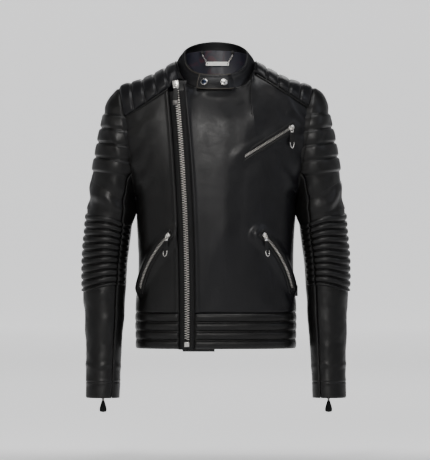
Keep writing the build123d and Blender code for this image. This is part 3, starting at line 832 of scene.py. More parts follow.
def back():
    z = np.linspace(WAIST_SEAM_Z, ARMPIT_Z, 30)
    sides = {}
    for side, sign in SIDES.items():
        z_arm = YOKE_SEAM_Z[side][1]
        za = ARMPIT_Z + (z_arm - ARMPIT_Z) * (1 - np.cos(np.linspace(0.05, 1, 60) * math.pi / 2)) ** 0.9
        low = np.stack([np.full(30, 0.0 if sign > 0 else 180.0), z], -1)
        arm = np.stack([angle_at(sign * armhole_x(za), za, True), za], -1)
        x, zy = yoke_line(side, np.linspace(1, 0, 30))
        seam = np.stack([angle_at(sign * x, zy, True), zy], -1)
        seam[0] = arm[-1]
        sides[side] = (np.concatenate([low, arm]), seam)
    neck_x = np.linspace(84, -75, 40)
    s = np.sqrt(1 - (neck_x / 91.0) ** 2)
    neck_z = 16 + 5 * s - 1
    neck = np.stack([angle_at(neck_x, neck_z, True), neck_z], -1)
    top = np.concatenate([sides["left"][1], neck, sides["right"][1][::-1]])
    left, right = sides["left"][0], sides["right"][0]
    bottom = np.stack([[0.0, 180.0], [WAIST_SEAM_Z] * 2], -1)
    uv = coons(polyline(*left), polyline(*right), polyline(*bottom), polyline(*top), 230, 220)
    p = torso_at(uv[..., 0], uv[..., 1])
    p = pull_to_neck(p, lambda x: "left" if x > 0 else "right", True, 55.0)
    NECK_EDGES.append(p[-1][abs(p[-1, :, 0]) < 88])
    lining("lining_back", p[::5, ::4], LINING_INSET)
    low = ramp(p[..., 2], -548, -520)
    d = (drape(p) + 1.6 * field(p, 70, 4.4, (2.0, 1, 0.8))) * low
    d += seam_roll(p, ["bottom", "top", "left", "right"])
    d -= 2.0 * bump(p[..., 2] - back_seam(p[..., 0]), 2.0)
    d -= 1.6 * bump(p[..., 0], 1.8) * ramp(-p[..., 2], 146, 156)
    _, q = finish_leather("back_shell", p, d, ["back_panel"])
    edge_stitches("torso_stitching", q, 0.2, *((edge, SEAM_STITCH) for edge in ("left", "right", "top")))
    q = q + normals(q) * 0.2
    for lift in (-5, 5):
        nearest = np.abs(q[..., 2] - (back_seam(q[0, :, 0]) + lift)).argmin(0)
        stitch_row("torso_stitching", [q[nearest[j], j] for j in range(12, 208)])


WAIST_RIBS = 4


def waistband():
    rows = 72
    z = np.linspace(HEM_Z, WAIST_SEAM_Z, rows)[:, None]
    spans = {
        "left": (angle_at(zip_line(z)[0] + PLACKET_HALF, z), 0 * z, 170),
        "right": (0 * z - 180, angle_at(zip_line(z)[0] - PLACKET_HALF, z), 80),
        "back": (0 * z, 0 * z + 180, 190),
    }
    for side, (a, b, cols) in spans.items():
        p = torso_at(a + (b - a) * np.linspace(0, 1, cols)[None], z + np.zeros((1, cols)))
        ribs = WAIST_RIBS * (z - HEM_Z) / (WAIST_SEAM_Z - HEM_Z)
        rough = 1 + 0.16 * field(p, 30, 1.7, (1, 1, 0.6))
        flat = 0.34 + 0.66 * ramp(half_width(p[..., 2]) - abs(p[..., 0]), 0, 34)
        d = 5.6 * flat * quilt(ribs, 20.0, 2.6, 0.55) * rough - 1.4 + 0.5 * field(p, 14, 6.0, (1, 1, 3))
        ends, far = run_lengths(p, 1)
        d = d * ramp(ends, -2, 5) * ramp(far, -2, 5)
        d -= 1.5 * (bump(ends, 2) + bump(far, 2))
        _, q = finish_leather(f"waistband_{side}_quilted", p, d, [f"waistband_{side}"])
        for k in range(1, WAIST_RIBS):
            stitch_row("torso_stitching", (q + normals(q) * 0.1)[int(rows * k / WAIST_RIBS)])
        if side != "back":
            edge_stitches("torso_stitching", q, 0.2, (side, 3.0))


YOKE_PADS = 5


def yokes():
    for side, sign in SIDES.items():
        rows, cols = 150, 120
        share = np.linspace(0, 1, rows)
        u = np.radians(np.linspace(-90, 90, cols))[None, :, None]
        front, rear = yoke_seam(side, share, False)[:, None], yoke_seam(side, share, True)[:, None]
        ridge_x = 88.6 + (216.3 - 88.6) * share
        top = smooth_rows(RIDGE_ROWS, ridge_x)[:, 0] + 1.0
        crest = np.stack([sign * ridge_x, 0 * top, top], -1)[:, None]
        crest[0, 0] = collar_ring(0.0 if sign > 0 else 180.0, 0.02, 0.6) + np.array([sign * 2.5, 0, 0])
        end = np.where(u > 0, rear, front)
        arch = np.concatenate([1 - np.cos(u), abs(np.sin(u)), 1 - np.cos(u)], -1)
        p = crest + (end - crest) * arch
        at_arm = sign * (armhole_x(p[-1, :, 2]) - 0.4)
        p[..., 0] += (at_arm - p[-1, :, 0])[None] * share[:, None] ** 2
        share, u = share[:, None], u[..., 0]
        if sign > 0:
            p = p[:, ::-1]
        n = normals(p)
        if n[rows // 2, cols // 2, 2] < 0:
            p = p[:, ::-1]
        lean = 0.10 * np.sin(u)
        if sign > 0:
            lean = -lean
        phase = np.clip(share * YOKE_PADS + lean, 0, YOKE_PADS - 1e-4)
        NECK_EDGES.append(p[0].copy())
        lining(f"lining_yoke_{side}", p[8::4, ::4], 6.5)
        start, end = run_lengths(p, 1)
        _, high = run_lengths(p, 0)
        edges = ramp(start, 0, 9) * ramp(end, 0, 9) * ramp(high, -4, 7)
        d = 4.0 * quilt(phase, 25.0, 2.4, 0.4) * edges - 1.0
        d += 0.6 * field(p, 22, 9.0) - 1.0 * (bump(start, 2.5) + bump(end, 2.5))
        d += 4.5 * bump(high, 22) * np.cos(u) ** 2
        # The yokes take the leather copy with the painted cool reflection tint.
        _, q = finish_leather(f"shoulder_quilted_{side}", p, d, [f"shoulder_yoke_{side}"],
                              mat=LEATHER_PAINTED_COOL_REFLECTION)
        for k in range(1, YOKE_PADS):
            row = np.array([q[min(rows - 1, int(round(rows * (k - l) / YOKE_PADS))), j]
                            for j, l in enumerate(np.broadcast_to(lean, (1, cols))[0])])
            stitch_row("torso_stitching", row[4:-4] + n[rows // 2, cols // 2] * 0.1)


# ---------------------------------------------------------------- sleeves
def sleeve_at(sign, height, angle):
    """Points on a sleeve: height is the section's outer z, angle 0 outside, 90 back, 180 inside."""
    keyed = [(o[1], o[0], i[0], i[1], depth, y) for o, i, depth, y in SLEEVE_ROWS]
    height, angle = np.broadcast_arrays(np.asarray(height, float), np.asarray(angle, float))
    row = smooth_rows(keyed, height)
    x_out, x_in, z_in, depth, y = (row[..., k] for k in range(5))
    c, s = np.cos(np.radians(angle)), np.sin(np.radians(angle))
    x = (x_out + x_in) / 2 + (x_out - x_in) / 2 * c
    z = (height + z_in) / 2 + (height - z_in) / 2 * c
    return np.stack([sign * x, y + depth * s, z], -1)


def sleeve_folds(p, sign):
    """Hang of the sleeve: diagonal folds above the elbow, small ones lower down."""
    x, y, z = abs(p[..., 0]), p[..., 1], p[..., 2]
    twist = 0.55 * x + 0.35 * y
    warp = 16 * field(p, 55, 12.0 + sign)
    fold = np.sin((z - twist + warp) / 8.5)
    d = 2.3 * fold * ramp(-z, 236, 268) * ramp(z, -345, -312)
    d += 1.4 * np.sin((z + 0.4 * x + warp) / 13) * ramp(-z, 480, 520) * ramp(z, -720, -560) * 0.55
    d += 1.2 * field(p, 42, 21.0 + sign, (1, 1, 1.7)) + 0.5 * field(p, 16, 30.0 + sign)
    d += 1.1 * bump(z + 664 - 4 * np.sin(x / 9), 6) + 0.8 * bump(z + 700, 5)
    return d


HEAD_RIB_TOP_Z, HEAD_RIB_PITCH = -104, 33.5
ELBOW_RIBS = 10.5


def head_ribs(p):
    """Quilted ribs round the sleeve head below a plain top, a little higher outside than inside."""
    rise = p[..., 2] - 0.13 * (abs(p[..., 0]) - 205)
    phase = (HEAD_RIB_TOP_Z - rise) / HEAD_RIB_PITCH
    inside = ramp(phase, -0.10, 0.02) * ramp(-phase, -4.02, -3.96)
    plain = 1.6 * ramp(-phase, 0.05, 0.5)
    return np.where(phase < 0, plain, 5.2 * quilt(phase, HEAD_RIB_PITCH, 3.0, 0.35) * inside)


def elbow_ribs(p):
    """Ten and a half ribs that fan from the outside of the elbow to the crease inside it."""
    across = np.clip((298 - abs(p[..., 0])) / 104, 0, 1)
    top = ELBOW_TOP_Z - 6 - 26 * across**1.3
    low = ELBOW_END_Z + 2 + 16 * across
    phase = ELBOW_RIBS * (top - p[..., 2]) / (top - low)
    phase = phase + 0.16 * np.sin(p[..., 1] / 21) + 0.10 * np.sin(abs(p[..., 0]) / 17)
    inside = ramp(phase, -0.05, 0.12) * ramp(-phase, -ELBOW_RIBS, 0.12 - ELBOW_RIBS)
    return 5.0 * quilt(phase, 17.5, 2.5, 0.5) * inside


UPPER_SPAN, UNDER_SPAN = (-124.7, 124.7), (125.3, 234.7)     # degrees round the sleeve
SLEEVE_TOP = SLEEVE_ROWS[0][0][1]
TUCK_ROWS = 7                              # rows of leather turned in at the armhole
CUFF_HEM = 36


def sleeve_grid(sign, z_high, z_low, span, rows, cols):
    z = np.linspace(z_low, z_high, rows)[:, None]
    a = np.linspace(*span, cols)[None]
    p = sleeve_at(sign, z, a)
    return p if sign > 0 else p[:, ::-1]


def armhole_seams():
    """Rolled seam where each sleeve is set in, and the piping along the yokes' front seams."""
    for side, sign in SIDES.items():
        a = np.linspace(0, 360, 120, endpoint=False)
        ring = sleeve_at(sign, SLEEVE_TOP, a)
        middle = ring.mean(0)
        ring = middle + (ring - middle) * 0.966
        ring[:, 0] -= sign * 1.5
        seam = sweep(f"armhole_seam_{side}", ring, round_outline(3.4, 3.4, 12), EDGE_MAT, closed=True,
                     up=(sign, 0, 0))
        place(seam, "torso", "leather")
        line = yoke_seam(side, np.linspace(0.05 if side == "left" else 0.24, 0.985, 90), False)
        line = line + unit(line * np.array([0.3, 1, 0])) * 0.6 + np.array([0, 0, -1.2])
        pipe = sweep(f"yoke_piping_{side}", line, round_outline(2.1, 2.1, 12), LEATHER_MAT)
        place(pipe, "torso", "leather")


def panel_wear(p):
    """Turned-in long seams and fine unevenness of a sleeve panel."""
    return seam_roll(p, ["left", "right"]) + 0.7 * field(p, 20, 14.0)


def sleeve_head(side, sign):
    p = sleeve_grid(sign, SLEEVE_TOP, HEAD_END_Z, UPPER_SPAN, 240, 150)
    d = head_ribs(p) + 0.6 * sleeve_folds(p, sign) * ramp(-p[..., 2], 225, 250) + panel_wear(p)
    low, high = run_lengths(p, 0)
    outward = np.clip(np.cos(np.radians(np.linspace(*UPPER_SPAN, 150))), 0, 1)[None] ** 0.8
    if side == "left":
        d += 8.0 * bump(high - 14, 30) * outward
    else:
        d += (3.0 * bump(high - 14, 30) - 2.4 * ramp(high, 0, 20) * ramp(low, 0, 40)) * outward
    d -= 0.8 * bump(high, 2.0)
    n = normals(p)
    p = p + n * d[..., None]
    inward = np.array([-sign * 1.7, 0, 0]) - n[-1] * 0.55
    tuck = np.stack([p[-1] + inward * k for k in range(1, TUCK_ROWS + 1)])
    p = np.concatenate([p, tuck])
    _, q = finish_leather(f"sleeve_head_quilted_{side}", p, 0 * p[..., 0], [f"sleeve_head_{side}"])
    stitch_row("torso_stitching", along_edge((q + normals(q) * 0.15)[:-TUCK_ROWS], "top", SEAM_STITCH))


def sleeves():
    for side, sign in SIDES.items():
        fore = f"forearm_{side}"
        sleeve_head(side, sign)

        p = sleeve_grid(sign, HEAD_END_Z, ELBOW_TOP_Z, UPPER_SPAN, 110, 150)
        d = sleeve_folds(p, sign) + head_ribs(p) + elbow_ribs(p) + panel_wear(p)
        finish_leather(f"upper_sleeve_leather_{side}", p, d, [f"upper_sleeve_{side}"])

        p = sleeve_grid(sign, ELBOW_TOP_Z, ELBOW_END_Z, UPPER_SPAN, 330, 150)
        d = elbow_ribs(p) + 0.5 * sleeve_folds(p, sign) + panel_wear(p)
        halves = [f"elbow_upper_{side}", f"elbow_lower_{side}"]
        panel, _ = finish_leather(f"elbow_panel_{side}", p, d, halves, body=None)
        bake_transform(panel)

        p = sleeve_grid(sign, ELBOW_END_Z, CUFF_Z, UPPER_SPAN, 240, 150)
        low, _ = run_lengths(p, 0)
        d = elbow_ribs(p) + seam_roll(p, ["left", "right"])
        d += (sleeve_folds(p, sign) + 0.7 * field(p, 20, 14.0)) * ramp(low, 4, 30)
        d -= 1.2 * (bump(low - CUFF_HEM, 1.8) + bump(low, 2.0))
        _, q = finish_leather(f"forearm_leather_{side}", p, d, [fore], body=fore)
        edge_stitches(f"forearm_stitching_{side}", q, 0.2, ("bottom", 4.0))

        p = sleeve_grid(sign, SLEEVE_TOP, CUFF_Z, UNDER_SPAN, 460, 66)
        low, high = run_lengths(p, 0)
        d = 0.8 * sleeve_folds(p, sign) + seam_roll(p, ["left", "right"], 1.4, 2.0)
        d *= ramp(high, 8, 60) * ramp(low, 4, 30)
        inner = ramp(-sign * unit(p - p.mean(1, keepdims=True))[..., 0], -0.2, 0.6)
        d += 7.5 * ramp(high, -10, 4) * ramp(p[..., 2], -352, -322) * inner
        round_in = np.linspace(*UNDER_SPAN, 66)[None]
        d += elbow_ribs(p) * ramp(round_in if sign > 0 else round_in[:, ::-1], 190, 214)
        d -= 1.2 * bump(low - CUFF_HEM, 1.8)
        under, _ = finish_leather(f"under_sleeve_leather_{side}", p, d,
                                  [f"under_sleeve_{side}", f"under_forearm_{side}"], body=None)
        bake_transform(under)

        z = np.linspace(CUFF_Z + 6, SLEEVE_TOP - 10, 120)[:, None]
        p = sleeve_at(sign, z, np.linspace(0, 360, 72, endpoint=False)[None])
        p = p if sign > 0 else p[:, ::-1]
        p = p - normals(p, True) * (4.2 - 0.9 * field(p, 30, 40.0))[..., None]
        lining = shell(f"sleeve_lining_{side}", p, SATIN, 0.6, closed=True)
        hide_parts(f"forearm_lining_{side}")
        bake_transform(lining)


# ---------------------------------------------------------------- collar
TAB_ROOT, TAB_TIP = -67.0, -118.0
TAB_LIFT = 3.4


def collar_profile(angles, low, thick, lift):
    """Rounded strip of collar: up the outer face, over the top and down the inner face."""
    rise = np.concatenate([np.linspace(low, 0.94, 22), [0.975, 1.0, 1.0, 0.975], np.linspace(0.94, low, 18)])
    inset = np.concatenate([np.zeros(22), [thick * 0.1, thick * 0.33, thick * 0.67, thick * 0.9],
                            np.full(18, thick)])
    seam = np.concatenate([1.1 * bump(np.linspace(low, 0.94, 22) - 0.80, 0.025), np.zeros(22)])
    p = np.stack([collar_ring(angles, r, lift - i - s) for r, i, s in zip(rise, inset, seam)])
    return p


def strip(name, p, mat):
    """Close a grid whose rows run round a cross-section; ends are capped."""
    rows, cols = p.shape[:2]
    faces = []
    for i in range(rows):
        k = (i + 1) % rows
        for j in range(cols - 1):
            faces.append((i * cols + j, i * cols + j + 1, k * cols + j + 1, k * cols + j))
    half = rows // 2
    for j, turn in ((0, True), (cols - 1, False)):
        for i in range(half):
            a, b, c, d = i, i + 1, rows - 2 - i, rows - 1 - i
            if b >= c:
                break
            quad = tuple(v * cols + j for v in (a, b, c, d))
            faces.append(quad if not turn else quad[::-1])
    return make_object(name, p.reshape(-1, 3), faces, mat)


def collar():
    angles = np.linspace(TAB_ROOT + 0.6, TAB_ROOT - 3 + 360, 260)
    p = collar_profile(angles, -0.12, 4.4, 0.0)
    n = unit(p * np.array([1, 1, 0]))
    p = p + n * (0.8 * field(p, 34, 51.0, (1, 1, 0.7)))[..., None]
    # The stand collar takes the leather copy with the painted cool reflection tint.
    stand = strip("stand_collar", p, LEATHER_PAINTED_COOL_REFLECTION)
    place(stand, "torso", "leather", "collar_outer", "collar_facing")
    for rise in (0.10, 0.90):
        stitch_row("torso_stitching", collar_ring(angles, rise, 0.25))
    stitch_row("torso_stitching", collar_ring(angles, 0.62, -4.7))

    angles = np.linspace(TAB_TIP, TAB_ROOT + 5, 90)
    low = 0.06
    p = collar_profile(angles, low, 2.8, TAB_LIFT + 3.0)
    settle = ramp(angles, TAB_ROOT - 6, TAB_ROOT + 5)[None, :, None] * 3.2
    p = p - unit(p * np.array([1, 1, 0])) * settle
    # The collar tab takes the leather copy with the painted cool reflection tint.
    tab = strip("collar_tab_leather", p, LEATHER_PAINTED_COOL_REFLECTION)
    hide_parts("collar_tab")
    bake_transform(tab)
    for rise in (0.16, 0.90):
        stitch_row("collar_tab_stitching", collar_ring(angles[3:70], rise, TAB_LIFT + 3.1))
    rises = np.linspace(0.16, 0.90, 12)
    stitch_row("collar_tab_stitching", collar_ring(TAB_TIP + 3, rises, TAB_LIFT + 3.1))


def collar_edges():
    """Folded, worn edges of the tab and of the collar's front."""
    across = np.linspace(TAB_TIP + 0.8, TAB_ROOT + 2, 60)
    up = np.linspace(0.07, 0.985, 14)
    lift = TAB_LIFT + 3.1
    path = np.concatenate([
        collar_ring(across[::-1], 0.985, lift - 0.5),
        collar_ring(TAB_TIP + 0.6, up[::-1], lift),
        collar_ring(across, 0.075, lift),
    ])
    edge = sweep("collar_tab_edge", path, round_outline(0.95, 0.95, 8), WORN_EDGE, up=(0.02, -1, 0.05))
    place(edge, "collar_tab", "leather")
    a = np.linspace(TAB_TIP - 42, TAB_TIP - 1, 60)
    rim = sweep("collar_front_edge", collar_ring(a, 0.955, 0.1), round_outline(0.8, 0.8, 8), WORN_EDGE,
                up=(0.02, 0.1, 1))
    place(rim, "torso", "leather")


def stud_frame(angle, lift):
    p = collar_ring(angle, 0.5, lift)
    along = unit(collar_ring(angle + 1, 0.5, lift) - collar_ring(angle - 1, 0.5, lift))
    up = unit(collar_ring(angle, 1, lift) - collar_ring(angle, 0, lift))
    out = unit(np.cross(along, up))
    return p, along, np.cross(out, along), out


def turned_disc(name, frame_at, profile, mat, count=40):
    """Body of revolution about a frame's outward direction: (radius, height) pairs."""
    p, along, up, out = frame_at
    a = np.linspace(0, 2 * math.pi, count, endpoint=False)
    ring = along * np.cos(a)[:, None] + up * np.sin(a)[:, None]
    rows = np.stack([p + ring * r + out * h for r, h in profile])
    faces = grid_faces(len(profile), count, 0, True)
    faces.append(tuple(range(count))[::-1])
    faces.append(tuple((len(profile) - 1) * count + k for k in range(count)))
    return make_object(name, rows.reshape(-1, 3), faces, mat)


def studs():
    caps, posts = [], []
    for k, angle in enumerate((-107.5, -79.0)):
        lift = TAB_LIFT + 3.0 + 1.6
        cap = turned_disc(f"stud_cap_{k}", stud_frame(angle, lift), [
            (4.5, 0.0), (7.2, 0.1), (7.5, 0.5), (7.3, 1.0), (6.6, 1.3), (6.2, 1.25), (5.6, 1.65),
            (4.2, 2.15), (2.4, 2.5), (0.6, 2.6)], GUNMETAL if k == 0 else NICKEL)
        rim = turned_disc(f"stud_rim_{k}", stud_frame(angle, lift), [
            (6.9, 0.1), (7.7, 0.2), (7.9, 0.7), (7.6, 1.2), (7.0, 1.35)], NICKEL)
        socket = turned_disc(f"stud_socket_{k}", stud_frame(angle, 2.2), [
            (2.6, 0.0), (4.4, 0.1), (4.6, 0.6), (4.2, 1.1), (2.6, 1.1), (2.6, 0.4)], NICKEL)
        caps += [cap, rim, socket]
        posts.append(turned_disc(f"stud_post_{k}", stud_frame(angle, 1.4), [
            (4.6, 0.0), (4.6, 0.5), (3.9, 0.8), (2.0, 0.85), (1.9, 1.6), (1.4, 1.9), (0.3, 2.0)], NICKEL))
    for piece in caps:
        place(piece, "collar_tab", "nickel", "press_stud_caps")
    for piece in posts:
        place(piece, "torso", "nickel", "press_studs")


# ---------------------------------------------------------------- hanger chain
def chain_link(name, centre, along, flat, length, width, wire, mat):
    """Oval wire link: along is its long direction, flat is across its open side."""
    a = np.linspace(0, 2 * math.pi, 20, endpoint=False)
    straight = max(0.0, (length - width) / 2)
    path = [centre + along * (math.cos(t) * (width / 2 - wire) + math.copysign(straight, math.cos(t)))
            + flat * math.sin(t) * (width / 2 - wire) for t in a]
    normal = np.cross(along, flat)
    return sweep(name, path, round_outline(wire, wire, 8), mat, closed=True, up=normal)


CHAIN_LINKS = 7


def hanger():
    plate = frame["nodes"]["hanger_plate"]
    plate.data.materials.clear()
    plate.data.materials.append(PLATE_METAL)
    low, high = (np.array(v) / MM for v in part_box("hanger_plate"))
    centre = (low + high) / 2
    pivot = np.array(JOINTS["hanger_swing"]["pos_m"]) / MM
    links, loops = [], []
    for side, sign in SIDES.items():
        loop_at = pivot + np.array([sign * 34.0, 0, 0])
        hole = np.array([centre[0] + sign * (high[0] - low[0] - 6.8) / 2, centre[1], centre[2]])
        run = hole - loop_at
        along = unit(run)
        for k in range(CHAIN_LINKS):
            at = loop_at + run * ((k + 0.62) / CHAIN_LINKS)
            flat = np.array([0, 1.0, 0]) if k % 2 else unit(np.cross(along, [0, 1.0, 0]))
            links.append(chain_link(f"link_{sign}_{k}", at, along, flat, 5.2, 3.4, 0.55, NICKEL))
        links.append(chain_link(f"jump_{sign}", hole + np.array([0, 0, 1.6]), np.array([0, 0, 1.0]),
                                np.array([0, 1.0, 0]), 6.4, 5.0, 0.5, NICKEL))
        loops.append(chain_link(f"loop_{sign}", loop_at + np.array([0, 1.0, 0.2]), np.array([0, 0, 1.0]),
                                np.array([0, 1.0, 0]), 5.6, 4.4, 0.6, NICKEL))
        fold = [loop_at + np.array([0, 3.0 + math.sin(t), 2.5 + 6.5 * t]) for t in (0, 0.4, 0.8, 1.2)]
        tab = sweep(f"hanger_anchor_tab_{side}", fold, round_outline(3.6, 0.9, 14, 0.5), EDGE_MAT,
                    up=(0, -1, 0))
        place(tab, "torso", "leather")
    chain = join("hanger_links", links)
    place(chain, "hanger_chain", "nickel", "hanger_chain")
    anchors = join("hanger_anchor_loops", loops)
    place(anchors, "torso", "nickel", "hanger_loops")


# ---------------------------------------------------------------- zips
def teeth(name, track, length, half, heights, pitch, body, replaced):
    """Two rows of interlocked teeth, each a rounded bar with a head, between two heights."""
    base, top = heights
    count = int(length / pitch)
    shape = [(-0.27, -0.5), (-0.27, 0.25), (-0.16, 0.5), (0.16, 0.5), (0.27, 0.25), (0.27, -0.5)]
    stations = [(1, 0.62), (0.74, 0.90), (0.44, 1.0), (0.10, 0.78), (-0.18, 0.42)]
    verts, faces, total = [], [], 0
    for row, sign in ((0, 1), (1, -1)):
        at, along, across, out = track.at((np.arange(count) + 0.5 * row) * pitch)
        rings = []
        for s, scale in stations:
            for a, h in shape:
                rings.append(at + across * (half * s * sign) + along * (a * pitch * 0.84 * scale)
                             + out * ((base + top) / 2 + h * (top - base) * min(1, scale)))
        rings = np.stack(rings, 1)
        m = len(shape)
        for i in range(count):
            o = total + i * rings.shape[1]
            for k in range(len(stations) - 1):
                for j in range(m):
                    a, b = o + k * m + j, o + k * m + (j + 1) % m
                    q = (a, b, b + m, a + m)
                    faces.append(q if sign > 0 else q[::-1])
            caps = (tuple(o + j for j in range(m)), tuple(o + (len(stations) - 1) * m + j for j in range(m)))
            faces.append(caps[0][::-1] if sign > 0 else caps[0])
            faces.append(caps[1] if sign > 0 else caps[1][::-1])
        verts.append(rings.reshape(-1, 3))
        total += rings.shape[0] * rings.shape[1]
    piece = make_object(name, np.concatenate(verts), faces, TEETH_METAL, smooth=False)
    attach(piece, body)
    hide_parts(replaced)


def ribbon(name, track, first, last, sections, mat, body, slot_name, replaced=None, count=90):
    """Strip along a track with a cross-section of (side, out) points."""
    p, _, across, out = track.at(np.linspace(first, last, count))
    outline = np.array(sections, float)
    rings = p[:, None] + across[:, None] * outline[None, :, :1] + out[:, None] * outline[None, :, 1:]
    n, m = rings.shape[:2]
    faces = grid_faces(n, m, 0, True)
    faces += [tuple(range(m))[::-1], tuple((n - 1) * m + j for j in range(m))]
    piece = make_object(name, rings.reshape(-1, 3), faces, mat)
    place(piece, body, slot_name)
    if replaced:
        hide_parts(replaced)


def plate(name, origin, x_dir, y_dir, z_dir, outline, low, high, mat, edge=0.25):
    """Flat part cut to an outline of (x, y) points, standing between two heights."""
    pts = np.array(outline, float)
    n = len(pts)
    verts = [origin + x_dir * x + y_dir * y + z_dir * h for h in (low, high) for x, y in pts]
    faces = [tuple(range(n))[::-1], tuple(range(n, 2 * n))]
    faces += [(k, (k + 1) % n, n + (k + 1) % n, n + k) for k in range(n)]
    piece = make_object(name, np.array(verts), faces, mat, smooth=True)
    return bevel(piece, edge)


def box_outline(start, end, half):
    return [(start, -half), (end, -half), (end, half), (start, half)]


def slider(key, track, half, top, tape_top, length):
    """Zip slider: shield-shaped top plate, side flanges and the puller's bridge."""
    hang = hang_of(track)
    p, along, across, out = (v[0] for v in track.at(0.0))
    w = half + 1.7
    l = length / 2
    shield = [(-l, -w * 0.72), (-l * 0.8, -w), (l * 0.1, -w), (l, -w * 0.80), (l, w * 0.80), (l * 0.1, w),
              (-l * 0.8, w), (-l, w * 0.72)]
    floor = top + 0.4
    parts = [plate("s", p, along, across, out, shield, floor, floor + 1.5, NICKEL, 0.5)]
    for sign in (1, -1):
        y0, y1 = sorted((sign * (half + 0.4), sign * w))
        flange = [(-l * 0.85, y0), (l * 0.6, y0), (l * 0.6, y1), (-l * 0.85, y1)]
        parts.append(plate("f", p, along, across, out, flange, tape_top + 0.4, floor + 0.3, NICKEL, 0.2))
    side = np.cross(out, hang)
    top_h = floor + 1.5
    span = 4.4 if half > 4 else 3.4
    arch = [(-1, -0.6), (-1, 1.2), (-0.8, 2.6), (-0.4, 3.3), (0, 3.5)]
    arch += [(-x, h) for x, h in arch[-2::-1]]
    path = [p + hang * (span * x) + out * (top_h + h) for x, h in arch]
    parts.append(sweep("b", path, round_outline(1.5, 0.55, 10, 0.7), NICKEL, up=side))
    for k, part in enumerate(parts):
        part.name = f"{key}_slider_part_{k}"
        place(part, f"{ZIP_NAMES[key]}_slider", "nickel", f"{key}_slider")


def strap(name, pin, hang, side, out, start, end, widths, thick, mat):
    """Padded leather strap hanging from start to end, with widths at even stations."""
    t = np.linspace(0, 1, 28)
    w = smooth_rows(list(zip(np.linspace(0, 1, len(widths)), widths)), t)[:, 0] / 2
    ends = np.minimum(1, np.sqrt(np.maximum(1e-4, 1 - (2 * t - 1) ** 12)))
    rings = []
    for share, half, taper in zip(t, w, ends):
        outline = round_outline(half * taper, thick / 2 * taper, 20, 0.45)
        base = pin + hang * (start + (end - start) * share)
        rings.append(base + side * outline[:, :1] + out * outline[:, 1:])
    rings = np.array(rings)
    n, m = rings.shape[:2]
    faces = grid_faces(n, m, 0, True)
    faces += [tuple(range(m))[::-1], tuple((n - 1) * m + j for j in range(m))]
    return make_object(name, rings.reshape(-1, 3), faces, mat)


PULLER_EYE = [(-0.2, -2.4), (-0.2, 0), (-0.2, 2.4), (1.2, 3.3), (5.0, 3.1), (8.6, 2.4), (9.2, 0),
              (8.6, -2.4), (5.0, -3.1), (1.2, -3.3)]
# Clamp: start, end, half width at each, half thickness, bevel. Strap: start, end, widths, thickness.
# Loop: half of a wire end as (along, aside). Plate: a flat end's outline.
PULLER_STYLES = {
    "clamp": dict(clamp=(7.6, 12.6, 2.6, 4.2, 1.7, 0.4), strap=(11.6, 37.0, (7.6, 8.8, 9.2, 8.8), 2.6),
                  loop=[(34.5, 4.3), (40.0, 4.5), (45.0, 3.7), (48.0, 0)], wire=(1.05, 1.2), bar=(0.9, 1.0)),
    "tip": dict(clamp=(7.8, 11.4, 2.2, 3.8, 1.5, 0.35), strap=(10.8, 37.5, (7.4, 8.6, 9.4, 9.2), 2.4),
                loop=[(33.0, 4.4), (38.0, 4.4), (43.0, 3.0), (47.0, 0)], wire=(0.95, 1.1)),
    "main": dict(strap=(7.6, 37.0, (9.0, 11.2, 12.2, 12.0), 2.8),
                 plate=[(35.6, -6.0), (46.0, -5.4), (46.6, -4.4), (46.6, 4.4), (46.0, 5.4), (35.6, 6.0)]),
    "drop": dict(clamp=(8.0, 12.5, 2.0, 2.8, 1.9, 0.4),
                 strap=(10.0, 39.0, (4.5, 8.5, 13.0, 16.0, 15.5), 3.2)),
}


def puller(key, track, tilt, style):
    """Eye, clamp, strap and tip that hang from a slider's bridge."""
    body = f"{ZIP_NAMES[key]}_puller"
    pin = np.array(JOINTS[f"{body}_swing"]["pos_m"]) / MM
    down, away = hang_of(track), track.out
    a = math.radians(tilt)
    hang = down * math.cos(a) - away * math.sin(a)
    out = away * math.cos(a) + down * math.sin(a)
    side = np.cross(out, hang)
    shape = PULLER_STYLES[style]
    eye = [pin + hang * x + side * y for x, y in PULLER_EYE]
    metal = [sweep("eye", eye, round_outline(0.75, 0.75, 8), NICKEL, closed=True, up=out)]
    if "clamp" in shape:
        start, end, narrow, wide, deep, edge = shape["clamp"]
        wedge = [(start, -narrow), (end, -wide), (end, wide), (start, narrow)]
        metal.append(plate("clamp", pin, hang, side, out, wedge, -deep, deep, NICKEL, edge))
    if "loop" in shape:
        half = shape["loop"]
        loop = [pin + hang * x + side * y for x, y in half + [(x, -y) for x, y in half[-2::-1]]]
        metal.append(sweep("tip", loop, round_outline(*shape["wire"], 10), NICKEL, up=out))
        if "bar" in shape:
            metal.append(sweep("bar", [loop[0], loop[-1]], round_outline(*shape["bar"], 10), NICKEL, up=out))
    if "plate" in shape:
        metal.append(plate("tip", pin, hang, side, out, shape["plate"], -1.3, 1.3, DARK_STEEL, 0.5))
    leather = [strap("strap", pin, hang, side, out, *shape["strap"], EDGE_MAT)]
    for k, part in enumerate(metal + leather):
        is_metal = k < len(metal)
        part.name = f"{key}_puller_{'metal' if is_metal else 'leather'}_{k}"
        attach(part, body)
        if is_metal and not key.startswith("cuff"):
            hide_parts(f"{key}_puller_metal")
        else:
            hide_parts(f"{key}_puller")
    face = [pin + hang * x + out * (1.45 if style != "drop" else 1.7) for x in np.linspace(14, 33, 8)]
    for y in (-2.9, 2.9):
        stitch_row(f"{key}_puller_stitching", np.array(face) + side * y, 2.6, 1.7, 0.25)
    PULLER_THREADS[f"{key}_puller_stitching"] = body


PULLER_THREADS = {}


def hang_of(track):
    return unit(np.array([0, 0, -1.0]) - track.out * -track.out[2])


